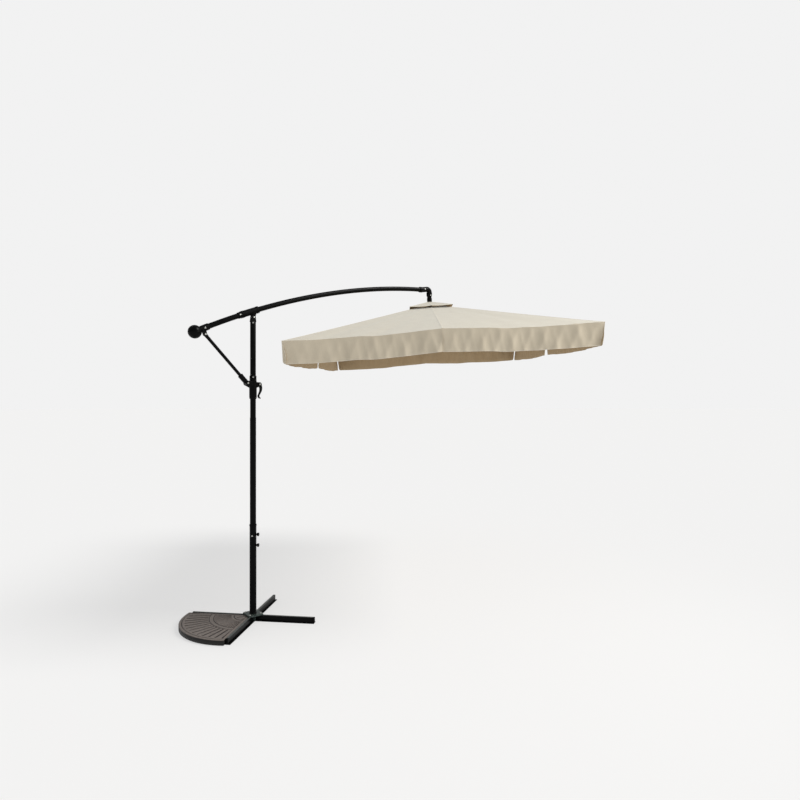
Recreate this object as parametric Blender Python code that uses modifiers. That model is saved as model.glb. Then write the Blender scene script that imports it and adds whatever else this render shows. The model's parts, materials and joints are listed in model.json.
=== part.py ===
"""Cantilever parasol: cross base with one ballast slab, turning mast, curved arm and a 2 x 3 m canopy.

Metres, +Z up. The origin is on the floor at the mast's axis, and the arm reaches out along +X.
"""
import math

import bmesh
import bpy
from mathutils import Matrix, Vector

# ---------------------------------------------------------------- driving dimensions
GAP = 0.0003                 # clearance between pieces that touch
SIDES = 16                   # facets round a tube
SMALL_SIDES = 10             # facets round a bolt, pin or screw

CROSS_SPAN = 0.90            # tip to tip of the crossed legs
LEG_WIDTH = 0.046            # foot flanges of the hat section
LEG_WEB = 0.017              # width of its raised middle
LEG_HEIGHT = 0.040
LEG_WALL = 0.0035
LEG_SKIN = 0.0020            # wall of the raised middle
LEG_CAP = 0.014              # length of the plastic cap that ends each leg
BASE_PLATE = 0.108           # square plate on top of the cross, its corners over the legs
BASE_PLATE_WALL = 0.005
FLANGE_WALL = 0.006          # plate welded under the foot tube
FLANGE_BOLT_OFFSET = 0.040
BOLT_RADIUS = 0.004
BOLT_CLEARANCE = 0.0004
BOLT_HEAD = (0.0075, 0.005)  # radius and height of a flange bolt's head
STUB_HEAD = (0.006, 0.0035)  # small screws whose heads show on the tubes
STUB_SHANK = (0.001, 0.0002)

SLAB_THICKNESS = LEG_HEIGHT - LEG_WALL - 0.0025
SLAB_RADIUS = 0.42           # radius of the fan's rim
SLAB_RIM_SHIFT = 0.08        # the rim's centre lies this far behind the mast
SLAB_SIDE_GAP = LEG_WEB / 2 + 0.0025  # from a leg's middle line to the slab's straight side
SLAB_INNER_RADIUS = 0.050    # quarter-round notch round the middle block

MAST_LOW_RADIUS = 0.0215
MAST_WALL = 0.0012
MAST_UP_RADIUS = MAST_LOW_RADIUS - MAST_WALL - GAP

FOOT_TUBE_WALL = 0.0018
FOOT_TUBE_RADIUS = MAST_LOW_RADIUS + FOOT_TUBE_WALL + 0.00045
FOOT_TUBE_TOP = 0.667
FOOT_COLLAR_HEIGHT = 0.012
FOOT_COLLAR_OVERHANG = 0.0018
FOOT_COLLAR_WALL = 0.0035
THUMB_SCREW_HEIGHTS = (0.608, 0.532)
THUMB_SCREW_RADIUS = 0.004
THUMB_KNOB_RADIUS = 0.013
THUMB_KNOB_LENGTH = 0.014
THUMB_NECK = (0.006, 0.004)  # radius and length between foot tube and knob
SCREW_HEADING = math.radians(-45)
FOOT_BOLT_HEIGHT = 0.600
FOOT_BOLT_HEADING = math.radians(232)

MAST_SEAM = 1.435            # top of the lower mast tube
MAST_OVERLAP = 0.060         # how far the upper tube reaches into the lower one
MAST_TOP = 2.100

HEAD_PIVOT_HEIGHT = 2.145    # hinge of the arm on the mast
HEAD_EAR_RADIUS = 0.015
HEAD_EAR_WALL = 0.008
HEAD_LUG_WALL = 0.015        # tongue between the two ears
HEAD_SHOULDER = 0.016        # height of the solid round below the ears
HEAD_PLUG = 0.050            # length inside the mast
PIN_RADIUS = 0.004
PIN_CLEARANCE = 0.0005
PIN_HEAD = (0.0065, 0.0035)  # radius and height
PIN_OVERHANG = 0.002         # each end stands this far outside its ears

ARM_RADIUS = 0.0185
ARM_WALL = 0.0012
ARM_BEND_RADIUS = 5.282      # the whole arm is one arc
ARM_CROWN = (1.872, 2.5327)  # highest point of that arc, X and Z
ARM_REAR = -0.368
ARM_TIP = 1.527
SLEEVE_SPAN = (-0.086, 0.039)
SLEEVE_RADIUS = ARM_RADIUS + 0.0051
ARM_BORE_CLEARANCE = 0.0006
BRACKET_SPAN = (-0.372, -0.320)
BRACKET_RADIUS = ARM_RADIUS + 0.0043
BRACKET_BOLT_X = -0.350
BRACKET_EAR = (0.0118, 0.006)  # radius and wall
KNOB_RADIUS = 0.0455
KNOB_X = -0.413
KNOB_NECK_ANGLE = 30         # degrees from the ball's axis to its neck

STRUT_TOP = (-0.344, 2.001)  # upper pivot of the strut, X and Z
SLIDER_PIN = (-0.046, 1.678) # lower pivot of the strut
STRUT_RADIUS = 0.0112
STRUT_WALL = 0.0012
STRUT_TONGUE = 0.012
STRUT_EYE_RADIUS = 0.0115
STRUT_EYE_LENGTH = 0.040
STRUT_SOCKET_RADIUS = 0.0185
STRUT_SOCKET_LENGTH = 0.074
STRUT_SOCKET_EYE = 0.0135
STRUT_SHOULDER = 0.008       # from an eye's edge to the round body
STRUT_SLOT_RADIUS = 0.0090   # open pivot: the socket's eye is wider than its pin

SLIDER_SPAN = (1.567, 1.731)
SLIDER_RADIUS = MAST_UP_RADIUS + 0.0062
SLIDER_BORE_CLEARANCE = 0.0004
SLIDER_PIN_RADIUS = 0.0035
SLIDER_EAR_WALL = 0.005
SLIDER_EAR_CLEARANCE = 0.0006
SLIDER_STRUT_EAR = 0.012
SLIDER_LEVER_EAR = 0.013
LEVER_PIVOT = (0.046, 1.671)
LEVER_WIDTH = 0.018
LEVER_CAM = 0.0115
LEVER_BLADE = (              # X and Z from the pivot, and half width
    (0.006, -0.006, 0.0100), (0.013, -0.026, 0.0075), (0.010, -0.048, 0.0060), (0.001, -0.068, 0.0042),
    (-0.005, -0.082, 0.0038), (-0.001, -0.094, 0.0038), (0.009, -0.099, 0.0034))

KNUCKLE = (1.637, 2.483)     # hinge between elbow and hanging pole, X and Z
ELBOW_RADIUS = ARM_RADIUS + 0.0040
ELBOW_BEND = 0.026
ELBOW_RISE = 0.012            # the elbow's back climbs this much above the arm's tip
KNUCKLE_RADIUS = 0.016
KNUCKLE_TONGUE = 0.024
KNUCKLE_WALL = 0.007
FORK_ROOT = 0.004            # solid round above the knuckle's eye
ELBOW_LEAD = 0.020           # straight run that follows the arm's slope
ELBOW_SPIGOT = 0.040
ELBOW_BOLT_OFFSET = 0.045
CANOPY_TILT = 4.2            # degrees that the outer side stands higher
CANOPY_TURN = -38.1          # degrees from the arm to the canopy's short side

POLE_RADIUS = 0.0215
POLE_DROP = 0.112            # from the knuckle to the pole's lower end
POLE_SHOULDER = 0.006        # from the knuckle's eye to the round
HUB_RADIUS = 0.030
HUB_HEIGHT = 0.024
GUIDE_RADIUS = 0.010         # stub that the runner locks on
GUIDE_DROP = 0.370
RUNNER_RADIUS = 0.027
RUNNER_HEIGHT = 0.030
RUNNER_CLEARANCE = 0.0008
RUNNER_REACH = 0.220         # rib pivots down to stretcher pivots
RIB_PIVOT_RADIUS = 0.040
STRETCHER_PIVOT_RADIUS = 0.037
STRETCHER_SIDE = 0.0092      # stretchers run beside their ribs
RIB_ROOT = 0.005             # bar behind its pivot
STRETCHER_ROOT = 0.004
LINKAGE_LENGTH = 1.0         # hub to runner when the ribs hang straight down
RIB_SECTION = (0.010, 0.015)
STRETCHER_SECTION = (0.007, 0.010)
SECTION_WALL = 0.0009
RIB_TIP_GAP = 0.020

HALF_WIDTH = 1.000           # canopy's short half side
HALF_LENGTH = 1.500
CANOPY_RISE = 0.351
RIM_DROP = 0.431             # knuckle to the rim, down the pole
RIDGE_LIFT = 0.021           # the short sides' middle stands this much higher
VALANCE = 0.148
CLOTH = 0.0008
SLIT = 0.012
VENT_OPENING = 0.10          # share of the half sides that is left open under the cap
CAP_SHARE = 0.18
CAP_LIFT = 0.024
CAP_RISE = 0.065
CAP_HOLE = 0.028
RIB_TO_CLOTH = 0.014         # rib's middle line below the cloth at the rim

LEGS = (0, 90, 180, 270)
SLAB_QUADRANT = 90

PART_COLLECTION = "cantilever_parasol"
CUTTER_COLLECTION = "cutters"


# ---------------------------------------------------------------- scene and materials
def clear_scene():
    for old in list(bpy.data.objects):
        bpy.data.objects.remove(old, do_unlink=True)
    for name in (PART_COLLECTION, CUTTER_COLLECTION):
        collection = bpy.data.collections.new(name)
        bpy.context.scene.collection.children.link(collection)
        COLLECTIONS[name] = collection


COLLECTIONS = {}
MATERIALS = {
    "frame_black": ((0.018, 0.020, 0.021), 0.38, 0.6),
    "plastic_black": ((0.012, 0.012, 0.013), 0.45, 0.0),
    "knob_gloss": ((0.008, 0.008, 0.009), 0.12, 0.0),
    "zinc_steel": ((0.48, 0.49, 0.47), 0.35, 0.9),
    "base_green_grey": ((0.09, 0.105, 0.10), 0.45, 0.5),
    "slab_bronze": ((0.16, 0.135, 0.115), 0.55, 0.1),
    "rib_grey": ((0.10, 0.10, 0.10), 0.40, 0.7),
    "canvas_ecru": ((0.62, 0.57, 0.48), 0.90, 0.0),
}


def coat(piece, finish):
    """Give the piece its own Principled material in the named finish."""
    colour, rough, metal = MATERIALS[finish]
    made = bpy.data.materials.new(piece.name + "_" + finish)
    made.use_nodes = True
    shader = made.node_tree.nodes["Principled BSDF"]
    shader.inputs["Base Color"].default_value = (*colour, 1.0)
    shader.inputs["Roughness"].default_value = rough
    shader.inputs["Metallic"].default_value = metal
    made.diffuse_color = (*colour, 1.0)
    piece.data.materials.clear()
    piece.data.materials.append(made)


def empty(name, parent=None, location=(0, 0, 0), rotation=(0, 0, 0)):
    frame = bpy.data.objects.new(name, None)
    COLLECTIONS[PART_COLLECTION].objects.link(frame)
    frame.parent = parent
    frame.location = location
    frame.rotation_euler = rotation
    return frame


def place(piece, parent, location=(0, 0, 0), rotation=(0, 0, 0), cutter=False):
    """Link a piece under its parent; a cutter goes to its own hidden collection."""
    target = CUTTER_COLLECTION if cutter else PART_COLLECTION
    COLLECTIONS[target].objects.link(piece)
    piece.parent = parent
    piece.location = location
    piece.rotation_euler = rotation
    if cutter:
        piece.hide_render = True
        piece.display_type = "WIRE"
    return piece


# ---------------------------------------------------------------- basic shapes
def mesh_piece(name, bm):
    mesh = bpy.data.meshes.new(name)
    bm.to_mesh(mesh)
    bm.free()
    mesh.shade_smooth()
    mesh.set_sharp_from_angle(angle=math.radians(35))
    return bpy.data.objects.new(name, mesh)


def box(name, low, high):
    bm = bmesh.new()
    bmesh.ops.create_cube(bm, size=1.0)
    size = [b - a for a, b in zip(low, high)]
    middle = [(a + b) / 2 for a, b in zip(low, high)]
    bmesh.ops.scale(bm, vec=size, verts=bm.verts)
    bmesh.ops.translate(bm, vec=middle, verts=bm.verts)
    return mesh_piece(name, bm)


def rod(name, radius, start, end, sides=SIDES):
    """Solid round bar between two points."""
    start, end = Vector(start), Vector(end)
    bm = bmesh.new()
    bmesh.ops.create_cone(bm, cap_ends=True, segments=sides, radius1=radius, radius2=radius,
                          depth=(end - start).length)
    turn = Vector((0, 0, 1)).rotation_difference(end - start).to_matrix().to_4x4()
    bmesh.ops.transform(bm, matrix=Matrix.Translation((start + end) / 2) @ turn, verts=bm.verts)
    return mesh_piece(name, bm)


def turned(name, profile, ring=False, sides=SIDES):
    """Screw a profile of (radius, height) points, top to bottom, round Z; ring closes the loop."""
    bm = bmesh.new()
    points = [bm.verts.new((radius, 0, height)) for radius, height in profile]
    for first, second in zip(points, points[1:]):
        bm.edges.new((first, second))
    if ring:
        bm.edges.new((points[-1], points[0]))
    piece = mesh_piece(name, bm)
    screw = piece.modifiers.new("turn", "SCREW")
    screw.steps = sides
    screw.render_steps = sides
    screw.use_merge_vertices = True
    screw.merge_threshold = 0.00001
    screw.use_smooth_shade = True
    return piece


def tube(name, radius, wall, low, high, sides=SIDES):
    inner = radius - wall
    return turned(name, [(radius, high), (radius, low), (inner, low), (inner, high)], True, sides)


def flat_outline(name, loops, thickness):
    """Plate of the given thickness about its XY plane, from one outline and any holes."""
    curve = bpy.data.curves.new(name, "CURVE")
    curve.dimensions = "2D"
    curve.fill_mode = "BOTH"
    curve.extrude = thickness / 2
    for loop in loops:
        spline = curve.splines.new("POLY")
        spline.points.add(len(loop) - 1)
        for point, (x, y) in zip(spline.points, loop):
            point.co = (x, y, 0, 1)
        spline.use_cyclic_u = True
    return bpy.data.objects.new(name, curve)


def swept(name, radius, points, sides_level=2):
    """Round bar along a path of points, with filled caps."""
    curve = bpy.data.curves.new(name, "CURVE")
    curve.dimensions = "3D"
    curve.bevel_depth = radius
    curve.bevel_resolution = sides_level
    curve.use_fill_caps = True
    spline = curve.splines.new("POLY")
    spline.points.add(len(points) - 1)
    for point, place_at in zip(spline.points, points):
        point.co = (*place_at, 1)
    return bpy.data.objects.new(name, curve)


def as_mesh(piece):
    """Turn a curve into a mesh with its caps welded, so that it can be cut or joined."""
    scene_root = bpy.context.scene.collection
    scene_root.objects.link(piece)
    bpy.context.view_layer.update()
    evaluated = piece.evaluated_get(bpy.context.evaluated_depsgraph_get())
    mesh = bpy.data.meshes.new_from_object(evaluated)
    bm = bmesh.new()
    bm.from_mesh(mesh)
    bmesh.ops.remove_doubles(bm, verts=bm.verts, dist=0.00001)
    bmesh.ops.recalc_face_normals(bm, faces=bm.faces)
    bm.to_mesh(mesh)
    bm.free()
    name = piece.name
    bpy.data.objects.remove(piece, do_unlink=True)
    solid = bpy.data.objects.new(name, mesh)
    solid.name = name
    return solid


def combine(piece, helper, operation, parent, location=(0, 0, 0), rotation=(0, 0, 0)):
    """Join the helper to the piece, or cut it out, with an exact Boolean."""
    place(helper, parent, location, rotation, cutter=True)
    change = piece.modifiers.new(helper.name, "BOOLEAN")
    change.operation = operation
    change.solver = "EXACT"
    change.object = helper
    return piece


def arc_points(centre, radius, start, end, steps):
    """Points along a circle's arc, by angle in degrees."""
    found = []
    for step in range(steps + 1):
        angle = math.radians(start + (end - start) * step / steps)
        found.append((centre[0] + radius * math.cos(angle), centre[1] + radius * math.sin(angle)))
    return found


def eye_outline(centre, radius, towards, steps=8):
    """Round-ended lug: a half circle about the centre, with straight sides to a far point."""
    direction = math.degrees(math.atan2(towards[1] - centre[1], towards[0] - centre[0]))
    ring = arc_points(centre, radius, direction + 90, direction + 270, steps)
    reach = (towards[0] - centre[0], towards[1] - centre[1])
    first, last = ring[0], ring[-1]
    return ring + [(last[0] + reach[0], last[1] + reach[1]), (first[0] + reach[0], first[1] + reach[1])]


def upright_plate(name, outline, thickness):
    """Plate whose outline is drawn in X and Z, standing along the arm's plane, as a mesh."""
    return as_mesh(flat_outline(name, [outline], thickness))


UPRIGHT = (math.pi / 2, 0, 0)


def pin(name, radius, length, head_radius, head_height):
    """Bolt along Z: a low round head above zero and its shank below, with a nut-like foot end."""
    profile = [(0, head_height), (head_radius * 0.8, head_height), (head_radius, head_height * 0.6),
               (head_radius, 0), (radius, 0), (radius, -length), (0, -length)]
    return turned(name, profile, sides=SMALL_SIDES)


def stub_bolt(name, location, rotation):
    """Small bright screw head that stands on a surface, its local Z outwards."""
    bolt = pin(name, *STUB_SHANK, *STUB_HEAD)
    place(bolt, None, location, rotation)
    coat(bolt, "zinc_steel")


# ---------------------------------------------------------------- base
def hat_section(hollow):
    """Closed hat: a raised box between two foot flanges, hollow in the legs and solid in their caps."""
    half = LEG_WIDTH / 2
    web = LEG_WEB / 2
    outer = [(-half, 0), (half, 0), (half, LEG_WALL), (web, LEG_WALL), (web, LEG_HEIGHT - GAP),
             (-web, LEG_HEIGHT - GAP), (-web, LEG_WALL), (-half, LEG_WALL)]
    inner_web = web - LEG_SKIN
    top = LEG_HEIGHT - GAP - LEG_SKIN
    inner = [(-inner_web, LEG_SKIN), (-inner_web, top), (inner_web, top), (inner_web, LEG_SKIN)]
    return [outer, inner] if hollow else [outer]


def leg_piece(name, cross, angle, start, end, finish, hollow):
    """Length of hat section lying along one leg of the cross."""
    piece = flat_outline(name, hat_section(hollow), end - start)
    middle = (start + end) / 2
    turn = math.radians(angle)
    location = (middle * math.cos(turn), middle * math.sin(turn), 0)
    place(piece, cross, location, (math.pi / 2, 0, turn + math.pi / 2))
    coat(piece, finish)


def make_legs(cross):
    core_half = LEG_WIDTH / 2
    end = CROSS_SPAN / 2
    for number, angle in enumerate(LEGS, 1):
        cap_start = end - LEG_CAP
        start = core_half + GAP
        leg_piece(f"cross_leg_{number}", cross, angle, start, cap_start - GAP, "frame_black", True)
        leg_piece(f"leg_cap_{number}", cross, angle, cap_start, end, "plastic_black", False)


def bolt_places():
    return [(x, y) for x in (-FLANGE_BOLT_OFFSET, FLANGE_BOLT_OFFSET)
            for y in (-FLANGE_BOLT_OFFSET, FLANGE_BOLT_OFFSET)]


def drill_bolt_holes(piece, low, high):
    for number, (x, y) in enumerate(bolt_places(), 1):
        hole = rod(f"{piece.name}_hole_{number}", BOLT_RADIUS + BOLT_CLEARANCE, (0, 0, low), (0, 0, high),
                   SMALL_SIDES)
        combine(piece, hole, "DIFFERENCE", None, (x, y, 0))


def make_cross_core(cross):
    """Block in the middle of the legs with the base plate on top."""
    half = LEG_WIDTH / 2
    plate_half = BASE_PLATE / 2
    plate_top = LEG_HEIGHT + BASE_PLATE_WALL
    core = box("cross_core", (-half, -half, 0), (half, half, LEG_HEIGHT + 0.001))
    place(core, cross)
    plate = box("core_plate", (-plate_half, -plate_half, LEG_HEIGHT), (plate_half, plate_half, plate_top))
    combine(core, plate, "UNION", None)
    drill_bolt_holes(core, LEG_HEIGHT - 0.01, plate_top + 0.01)
    coat(core, "base_green_grey")
    return plate_top


def make_foot_tube(base):
    """Square flange with the foot tube welded on it, drilled for bolts and clamping screws."""
    half = BASE_PLATE / 2
    top = base + FLANGE_WALL
    piece = box("foot_tube", (-half, -half, base), (half, half, top))
    place(piece, None)
    barrel = rod("foot_barrel", FOOT_TUBE_RADIUS, (0, 0, base + 0.001), (0, 0, FOOT_TUBE_TOP), 20)
    combine(piece, barrel, "UNION", None)
    bore = rod("foot_bore", FOOT_TUBE_RADIUS - FOOT_TUBE_WALL, (0, 0, top), (0, 0, FOOT_TUBE_TOP + 0.1), 20)
    combine(piece, bore, "DIFFERENCE", None)
    drill_bolt_holes(piece, base - 0.01, top + 0.01)
    for number, height in enumerate(THUMB_SCREW_HEIGHTS, 1):
        hole = rod(f"screw_hole_{number}", THUMB_SCREW_RADIUS + BOLT_CLEARANCE, (0.015, 0, 0), (0.05, 0, 0),
                   SMALL_SIDES)
        combine(piece, hole, "DIFFERENCE", None, (0, 0, height), (0, 0, SCREW_HEADING))
    coat(piece, "frame_black")
    return top


def make_foot_fasteners(top):
    for number, (x, y) in enumerate(bolt_places(), 1):
        shank = FLANGE_WALL + BASE_PLATE_WALL - GAP
        bolt = pin(f"flange_bolt_{number}", BOLT_RADIUS, shank, *BOLT_HEAD)
        place(bolt, None, (x, y, top + GAP))
        coat(bolt, "zinc_steel")
    low = FOOT_TUBE_TOP + GAP
    high = FOOT_TUBE_TOP + FOOT_COLLAR_HEIGHT
    collar = tube("foot_collar", FOOT_TUBE_RADIUS + FOOT_COLLAR_OVERHANG, FOOT_COLLAR_WALL, low, high, 20)
    place(collar, None)
    coat(collar, "plastic_black")
    facing = FOOT_BOLT_HEADING
    reach = FOOT_TUBE_RADIUS + GAP
    stub_bolt("foot_bolt", (reach * math.cos(facing), reach * math.sin(facing), FOOT_BOLT_HEIGHT),
              (0, math.pi / 2, facing))


def make_thumb_screw(number, height):
    """Clamping screw that presses on the mast, with a lobed knob outside the foot tube."""
    joint = empty(f"joint_thumb_screw_{number}", None, (0, 0, height), (0, math.pi / 2, SCREW_HEADING))
    tip = MAST_LOW_RADIUS + GAP
    neck_radius, neck_length = THUMB_NECK
    neck = FOOT_TUBE_RADIUS + 0.002
    face = neck + neck_length
    end = face + THUMB_KNOB_LENGTH
    profile = [(0, end), (THUMB_KNOB_RADIUS * 0.75, end), (THUMB_KNOB_RADIUS, end - 0.003),
               (THUMB_KNOB_RADIUS, face + 0.002), (THUMB_KNOB_RADIUS * 0.7, face),
               (neck_radius, face), (neck_radius, neck), (THUMB_SCREW_RADIUS, neck),
               (THUMB_SCREW_RADIUS, tip), (0, tip)]
    screw = turned(f"thumb_screw_{number}", profile, sides=12)
    place(screw, joint)
    coat(screw, "plastic_black")


def slab_outline():
    """Quarter fan: straight sides along two legs, a round rim and a notch at the mast."""
    side = SLAB_SIDE_GAP
    shift = SLAB_RIM_SHIFT / math.sqrt(2)
    centre = (shift, shift)
    reach = math.sqrt(SLAB_RADIUS ** 2 - (shift - side) ** 2)
    start = math.degrees(math.atan2(side - shift, reach))
    rim = arc_points(centre, SLAB_RADIUS, start, 90 - start, 18)
    notch_start = math.degrees(math.asin(side / SLAB_INNER_RADIUS))
    notch = arc_points((0, 0), SLAB_INNER_RADIUS, 90 - notch_start, notch_start, 6)
    return rim + notch


def make_slab(cross):
    slab = flat_outline("ballast_slab", [slab_outline()], SLAB_THICKNESS)
    height = LEG_WALL + GAP + SLAB_THICKNESS / 2
    place(slab, cross, (0, 0, height), (0, 0, math.radians(SLAB_QUADRANT)))
    coat(slab, "slab_bronze")


# ---------------------------------------------------------------- mast
def make_mast(floor):
    joint = empty("joint_mast_turn", None, (0, 0, floor))
    low = tube("mast_lower", MAST_LOW_RADIUS, MAST_WALL, GAP, MAST_SEAM - floor)
    place(low, joint)
    coat(low, "frame_black")
    bottom = MAST_SEAM - MAST_OVERLAP - floor
    up = tube("mast_upper", MAST_UP_RADIUS, MAST_WALL, bottom, MAST_TOP - floor)
    place(up, joint)
    coat(up, "frame_black")


def make_mast_head():
    """Yoke on the mast: a plug in the tube, a shoulder and two ears for the arm's hinge."""
    plug_radius = MAST_UP_RADIUS - MAST_WALL - GAP
    shoulder = MAST_TOP + GAP
    top = shoulder + HEAD_SHOULDER
    bottom = shoulder - HEAD_PLUG
    profile = [(0, top), (MAST_UP_RADIUS, top), (MAST_UP_RADIUS, shoulder), (plug_radius, shoulder),
               (plug_radius, bottom), (0, bottom)]
    head = turned("mast_head", profile)
    place(head, None)
    outline = eye_outline((0, HEAD_PIVOT_HEIGHT), HEAD_EAR_RADIUS, (0, shoulder + 0.004))
    offset = HEAD_LUG_WALL / 2 + GAP + HEAD_EAR_WALL / 2
    for side, name in ((-1, "ear_near"), (1, "ear_far")):
        ear = upright_plate(f"head_{name}", outline, HEAD_EAR_WALL)
        combine(head, ear, "UNION", None, (0, side * offset, 0), UPRIGHT)
    hole = rod("head_pin_hole", PIN_RADIUS + PIN_CLEARANCE, (0, -0.05, 0), (0, 0.05, 0), SMALL_SIDES)
    combine(head, hole, "DIFFERENCE", None, (0, 0, HEAD_PIVOT_HEIGHT))
    coat(head, "plastic_black")
    return offset + HEAD_EAR_WALL / 2


def cross_pin(name, x, z, ear_face, radius=PIN_RADIUS):
    """Pin across the arm's plane, its head towards -Y, at X and Z."""
    half_length = ear_face + PIN_OVERHANG
    piece = pin(name, radius, 2 * half_length, *PIN_HEAD)
    place(piece, None, (x, -half_length - GAP, z), (math.pi / 2, 0, 0))
    coat(piece, "zinc_steel")
    return piece


# ---------------------------------------------------------------- arm
def arm_height(x):
    run = x - ARM_CROWN[0]
    return ARM_CROWN[1] - ARM_BEND_RADIUS + math.sqrt(ARM_BEND_RADIUS ** 2 - run ** 2)


def arm_slope(x):
    return math.atan2(ARM_CROWN[0] - x, arm_height(x) - ARM_CROWN[1] + ARM_BEND_RADIUS)


def arm_path(start, end, steps):
    return [(start + (end - start) * i / steps, 0, arm_height(start + (end - start) * i / steps))
            for i in range(steps + 1)]


def arm_cutter(name, radius, start, end, steps=3):
    return as_mesh(swept(name, radius, arm_path(start, end, steps)))


def make_arm_tube():
    """Hollow tube along the arm's arc, open at both ends."""
    piece = swept("arm_tube", ARM_RADIUS, arm_path(ARM_REAR, ARM_TIP, 20))
    piece.data.use_fill_caps = False
    wall = piece.modifiers.new("wall", "SOLIDIFY")
    wall.thickness = ARM_WALL
    wall.offset = -1
    place(piece, None)
    coat(piece, "frame_black")


def clamp_on_arm(name, span, radius, lugs, pin_at):
    """Sleeve round the arm, joined to its lugs, then bored for the arm and the pin."""
    piece = arm_cutter(name, radius, *span)
    place(piece, None)
    for number, (outline, thickness, offset) in enumerate(lugs, 1):
        lug = upright_plate(f"{name}_lug_{number}", outline, thickness)
        combine(piece, lug, "UNION", None, (0, offset, 0), UPRIGHT)
    bore = arm_cutter(f"{name}_bore", ARM_RADIUS + ARM_BORE_CLEARANCE, span[0] - 0.03, span[1] + 0.03, 5)
    combine(piece, bore, "DIFFERENCE", None)
    hole = rod(f"{name}_pin_hole", PIN_RADIUS + PIN_CLEARANCE, (0, -0.05, 0), (0, 0.05, 0), SMALL_SIDES)
    combine(piece, hole, "DIFFERENCE", None, (pin_at[0], 0, pin_at[1]))
    coat(piece, "plastic_black")


def make_arm_sleeve():
    pivot = (0, HEAD_PIVOT_HEIGHT)
    outline = eye_outline(pivot, HEAD_EAR_RADIUS - 0.001, (0, arm_height(0) - ARM_RADIUS * 0.9))
    clamp_on_arm("arm_sleeve", SLEEVE_SPAN, SLEEVE_RADIUS, [(outline, HEAD_LUG_WALL, 0)], pivot)


def make_rear_bracket():
    """Sleeve at the arm's rear end with two ears that hold the strut."""
    above = (STRUT_TOP[0] - 0.008, arm_height(STRUT_TOP[0]) - ARM_RADIUS * 0.9)
    radius, wall = BRACKET_EAR
    outline = eye_outline(STRUT_TOP, radius, above)
    offset = STRUT_TONGUE / 2 + GAP + wall / 2
    lugs = [(outline, wall, -offset), (outline, wall, offset)]
    clamp_on_arm("rear_bracket", BRACKET_SPAN, BRACKET_RADIUS, lugs, STRUT_TOP)
    return offset + wall / 2


def make_ball_knob():
    """Glossy ball with a tapered neck that closes the arm's rear end."""
    slope = arm_slope(KNOB_X)
    face = (BRACKET_SPAN[0] - GAP * 2 - KNOB_X) / math.cos(slope)
    neck_radius = BRACKET_RADIUS - 0.002
    ball = [(KNOB_RADIUS * math.sin(math.radians(a)), KNOB_RADIUS * math.cos(math.radians(a)))
            for a in range(KNOB_NECK_ANGLE, 181, 15)]
    profile = [(0, face), (neck_radius, face), (neck_radius, face - 0.002)] + ball[:-1] + [(0, -KNOB_RADIUS)]
    knob = turned("ball_knob", profile)
    place(knob, None, (KNOB_X, 0, arm_height(KNOB_X)), (0, math.pi / 2 - slope, 0))
    coat(knob, "knob_gloss")


def make_arm(frame_joint):
    make_arm_tube()
    make_arm_sleeve()
    ear_face = make_rear_bracket()
    make_ball_knob()
    cross_pin("strut_pin", STRUT_TOP[0], STRUT_TOP[1], ear_face)
    stub_bolt("bracket_bolt", (BRACKET_BOLT_X, -BRACKET_RADIUS - GAP, arm_height(BRACKET_BOLT_X)), UPRIGHT)
    hang_under(frame_joint, ("arm_tube", "arm_sleeve", "rear_bracket", "ball_knob", "strut_pin",
                             "bracket_bolt"))


def hang_under(joint, names):
    """Parent placed pieces to their joint's empty and keep them where they are."""
    bpy.context.view_layer.update()
    for name in names:
        piece = bpy.data.objects[name]
        piece.parent = joint
        piece.matrix_parent_inverse = joint.matrix_world.inverted()


# ---------------------------------------------------------------- strut and slider
def strut_frame():
    run = SLIDER_PIN[0] - STRUT_TOP[0]
    fall = SLIDER_PIN[1] - STRUT_TOP[1]
    length = math.hypot(run, fall)
    angle = math.atan2(run, fall)
    return length, angle


def make_strut(joint):
    """Eye, tube and socket in line; Z runs from the upper pivot to the lower one."""
    length, angle = strut_frame()
    rotation = (0, angle, 0)
    place_at = (STRUT_TOP[0], 0, STRUT_TOP[1])
    socket_start = length - STRUT_SOCKET_LENGTH
    eye = strut_end("strut_eye", 0, STRUT_EYE_LENGTH, STRUT_RADIUS, STRUT_EYE_RADIUS,
                    PIN_RADIUS + PIN_CLEARANCE, place_at, rotation)
    middle = tube("strut_tube", STRUT_RADIUS, STRUT_WALL, STRUT_EYE_LENGTH + GAP, socket_start - GAP, 12)
    place(middle, None, place_at, rotation)
    socket = strut_end("strut_socket", length, socket_start, STRUT_SOCKET_RADIUS, STRUT_SOCKET_EYE,
                       STRUT_SLOT_RADIUS, place_at, rotation)
    for piece, finish in ((eye, "plastic_black"), (middle, "frame_black"), (socket, "plastic_black")):
        coat(piece, finish)
    hang_under(joint, ("strut_eye", "strut_tube", "strut_socket"))


def strut_end(name, eye_at, body_end, body_radius, eye_radius, hole_radius, place_at, rotation):
    """End fitting: a flat eye about the pivot that grows into a round body."""
    away = 1 if body_end > eye_at else -1
    shoulder = eye_at + away * (eye_radius + STRUT_SHOULDER)
    body = rod(name, body_radius, (0, 0, shoulder), (0, 0, body_end), 12)
    place(body, None, place_at, rotation)
    outline = eye_outline((0, eye_at), eye_radius, (0, shoulder + away * 0.002))
    tongue = upright_plate(name + "_tongue", outline, STRUT_TONGUE)
    lay = Matrix.Rotation(math.pi / 2, 4, "X")
    tongue.data.transform(lay)
    combine(body, tongue, "UNION", None, place_at, rotation)
    hole = rod(name + "_hole", hole_radius, (0, -0.05, eye_at), (0, 0.05, eye_at), 12)
    combine(body, hole, "DIFFERENCE", None, place_at, rotation)
    return body


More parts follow.
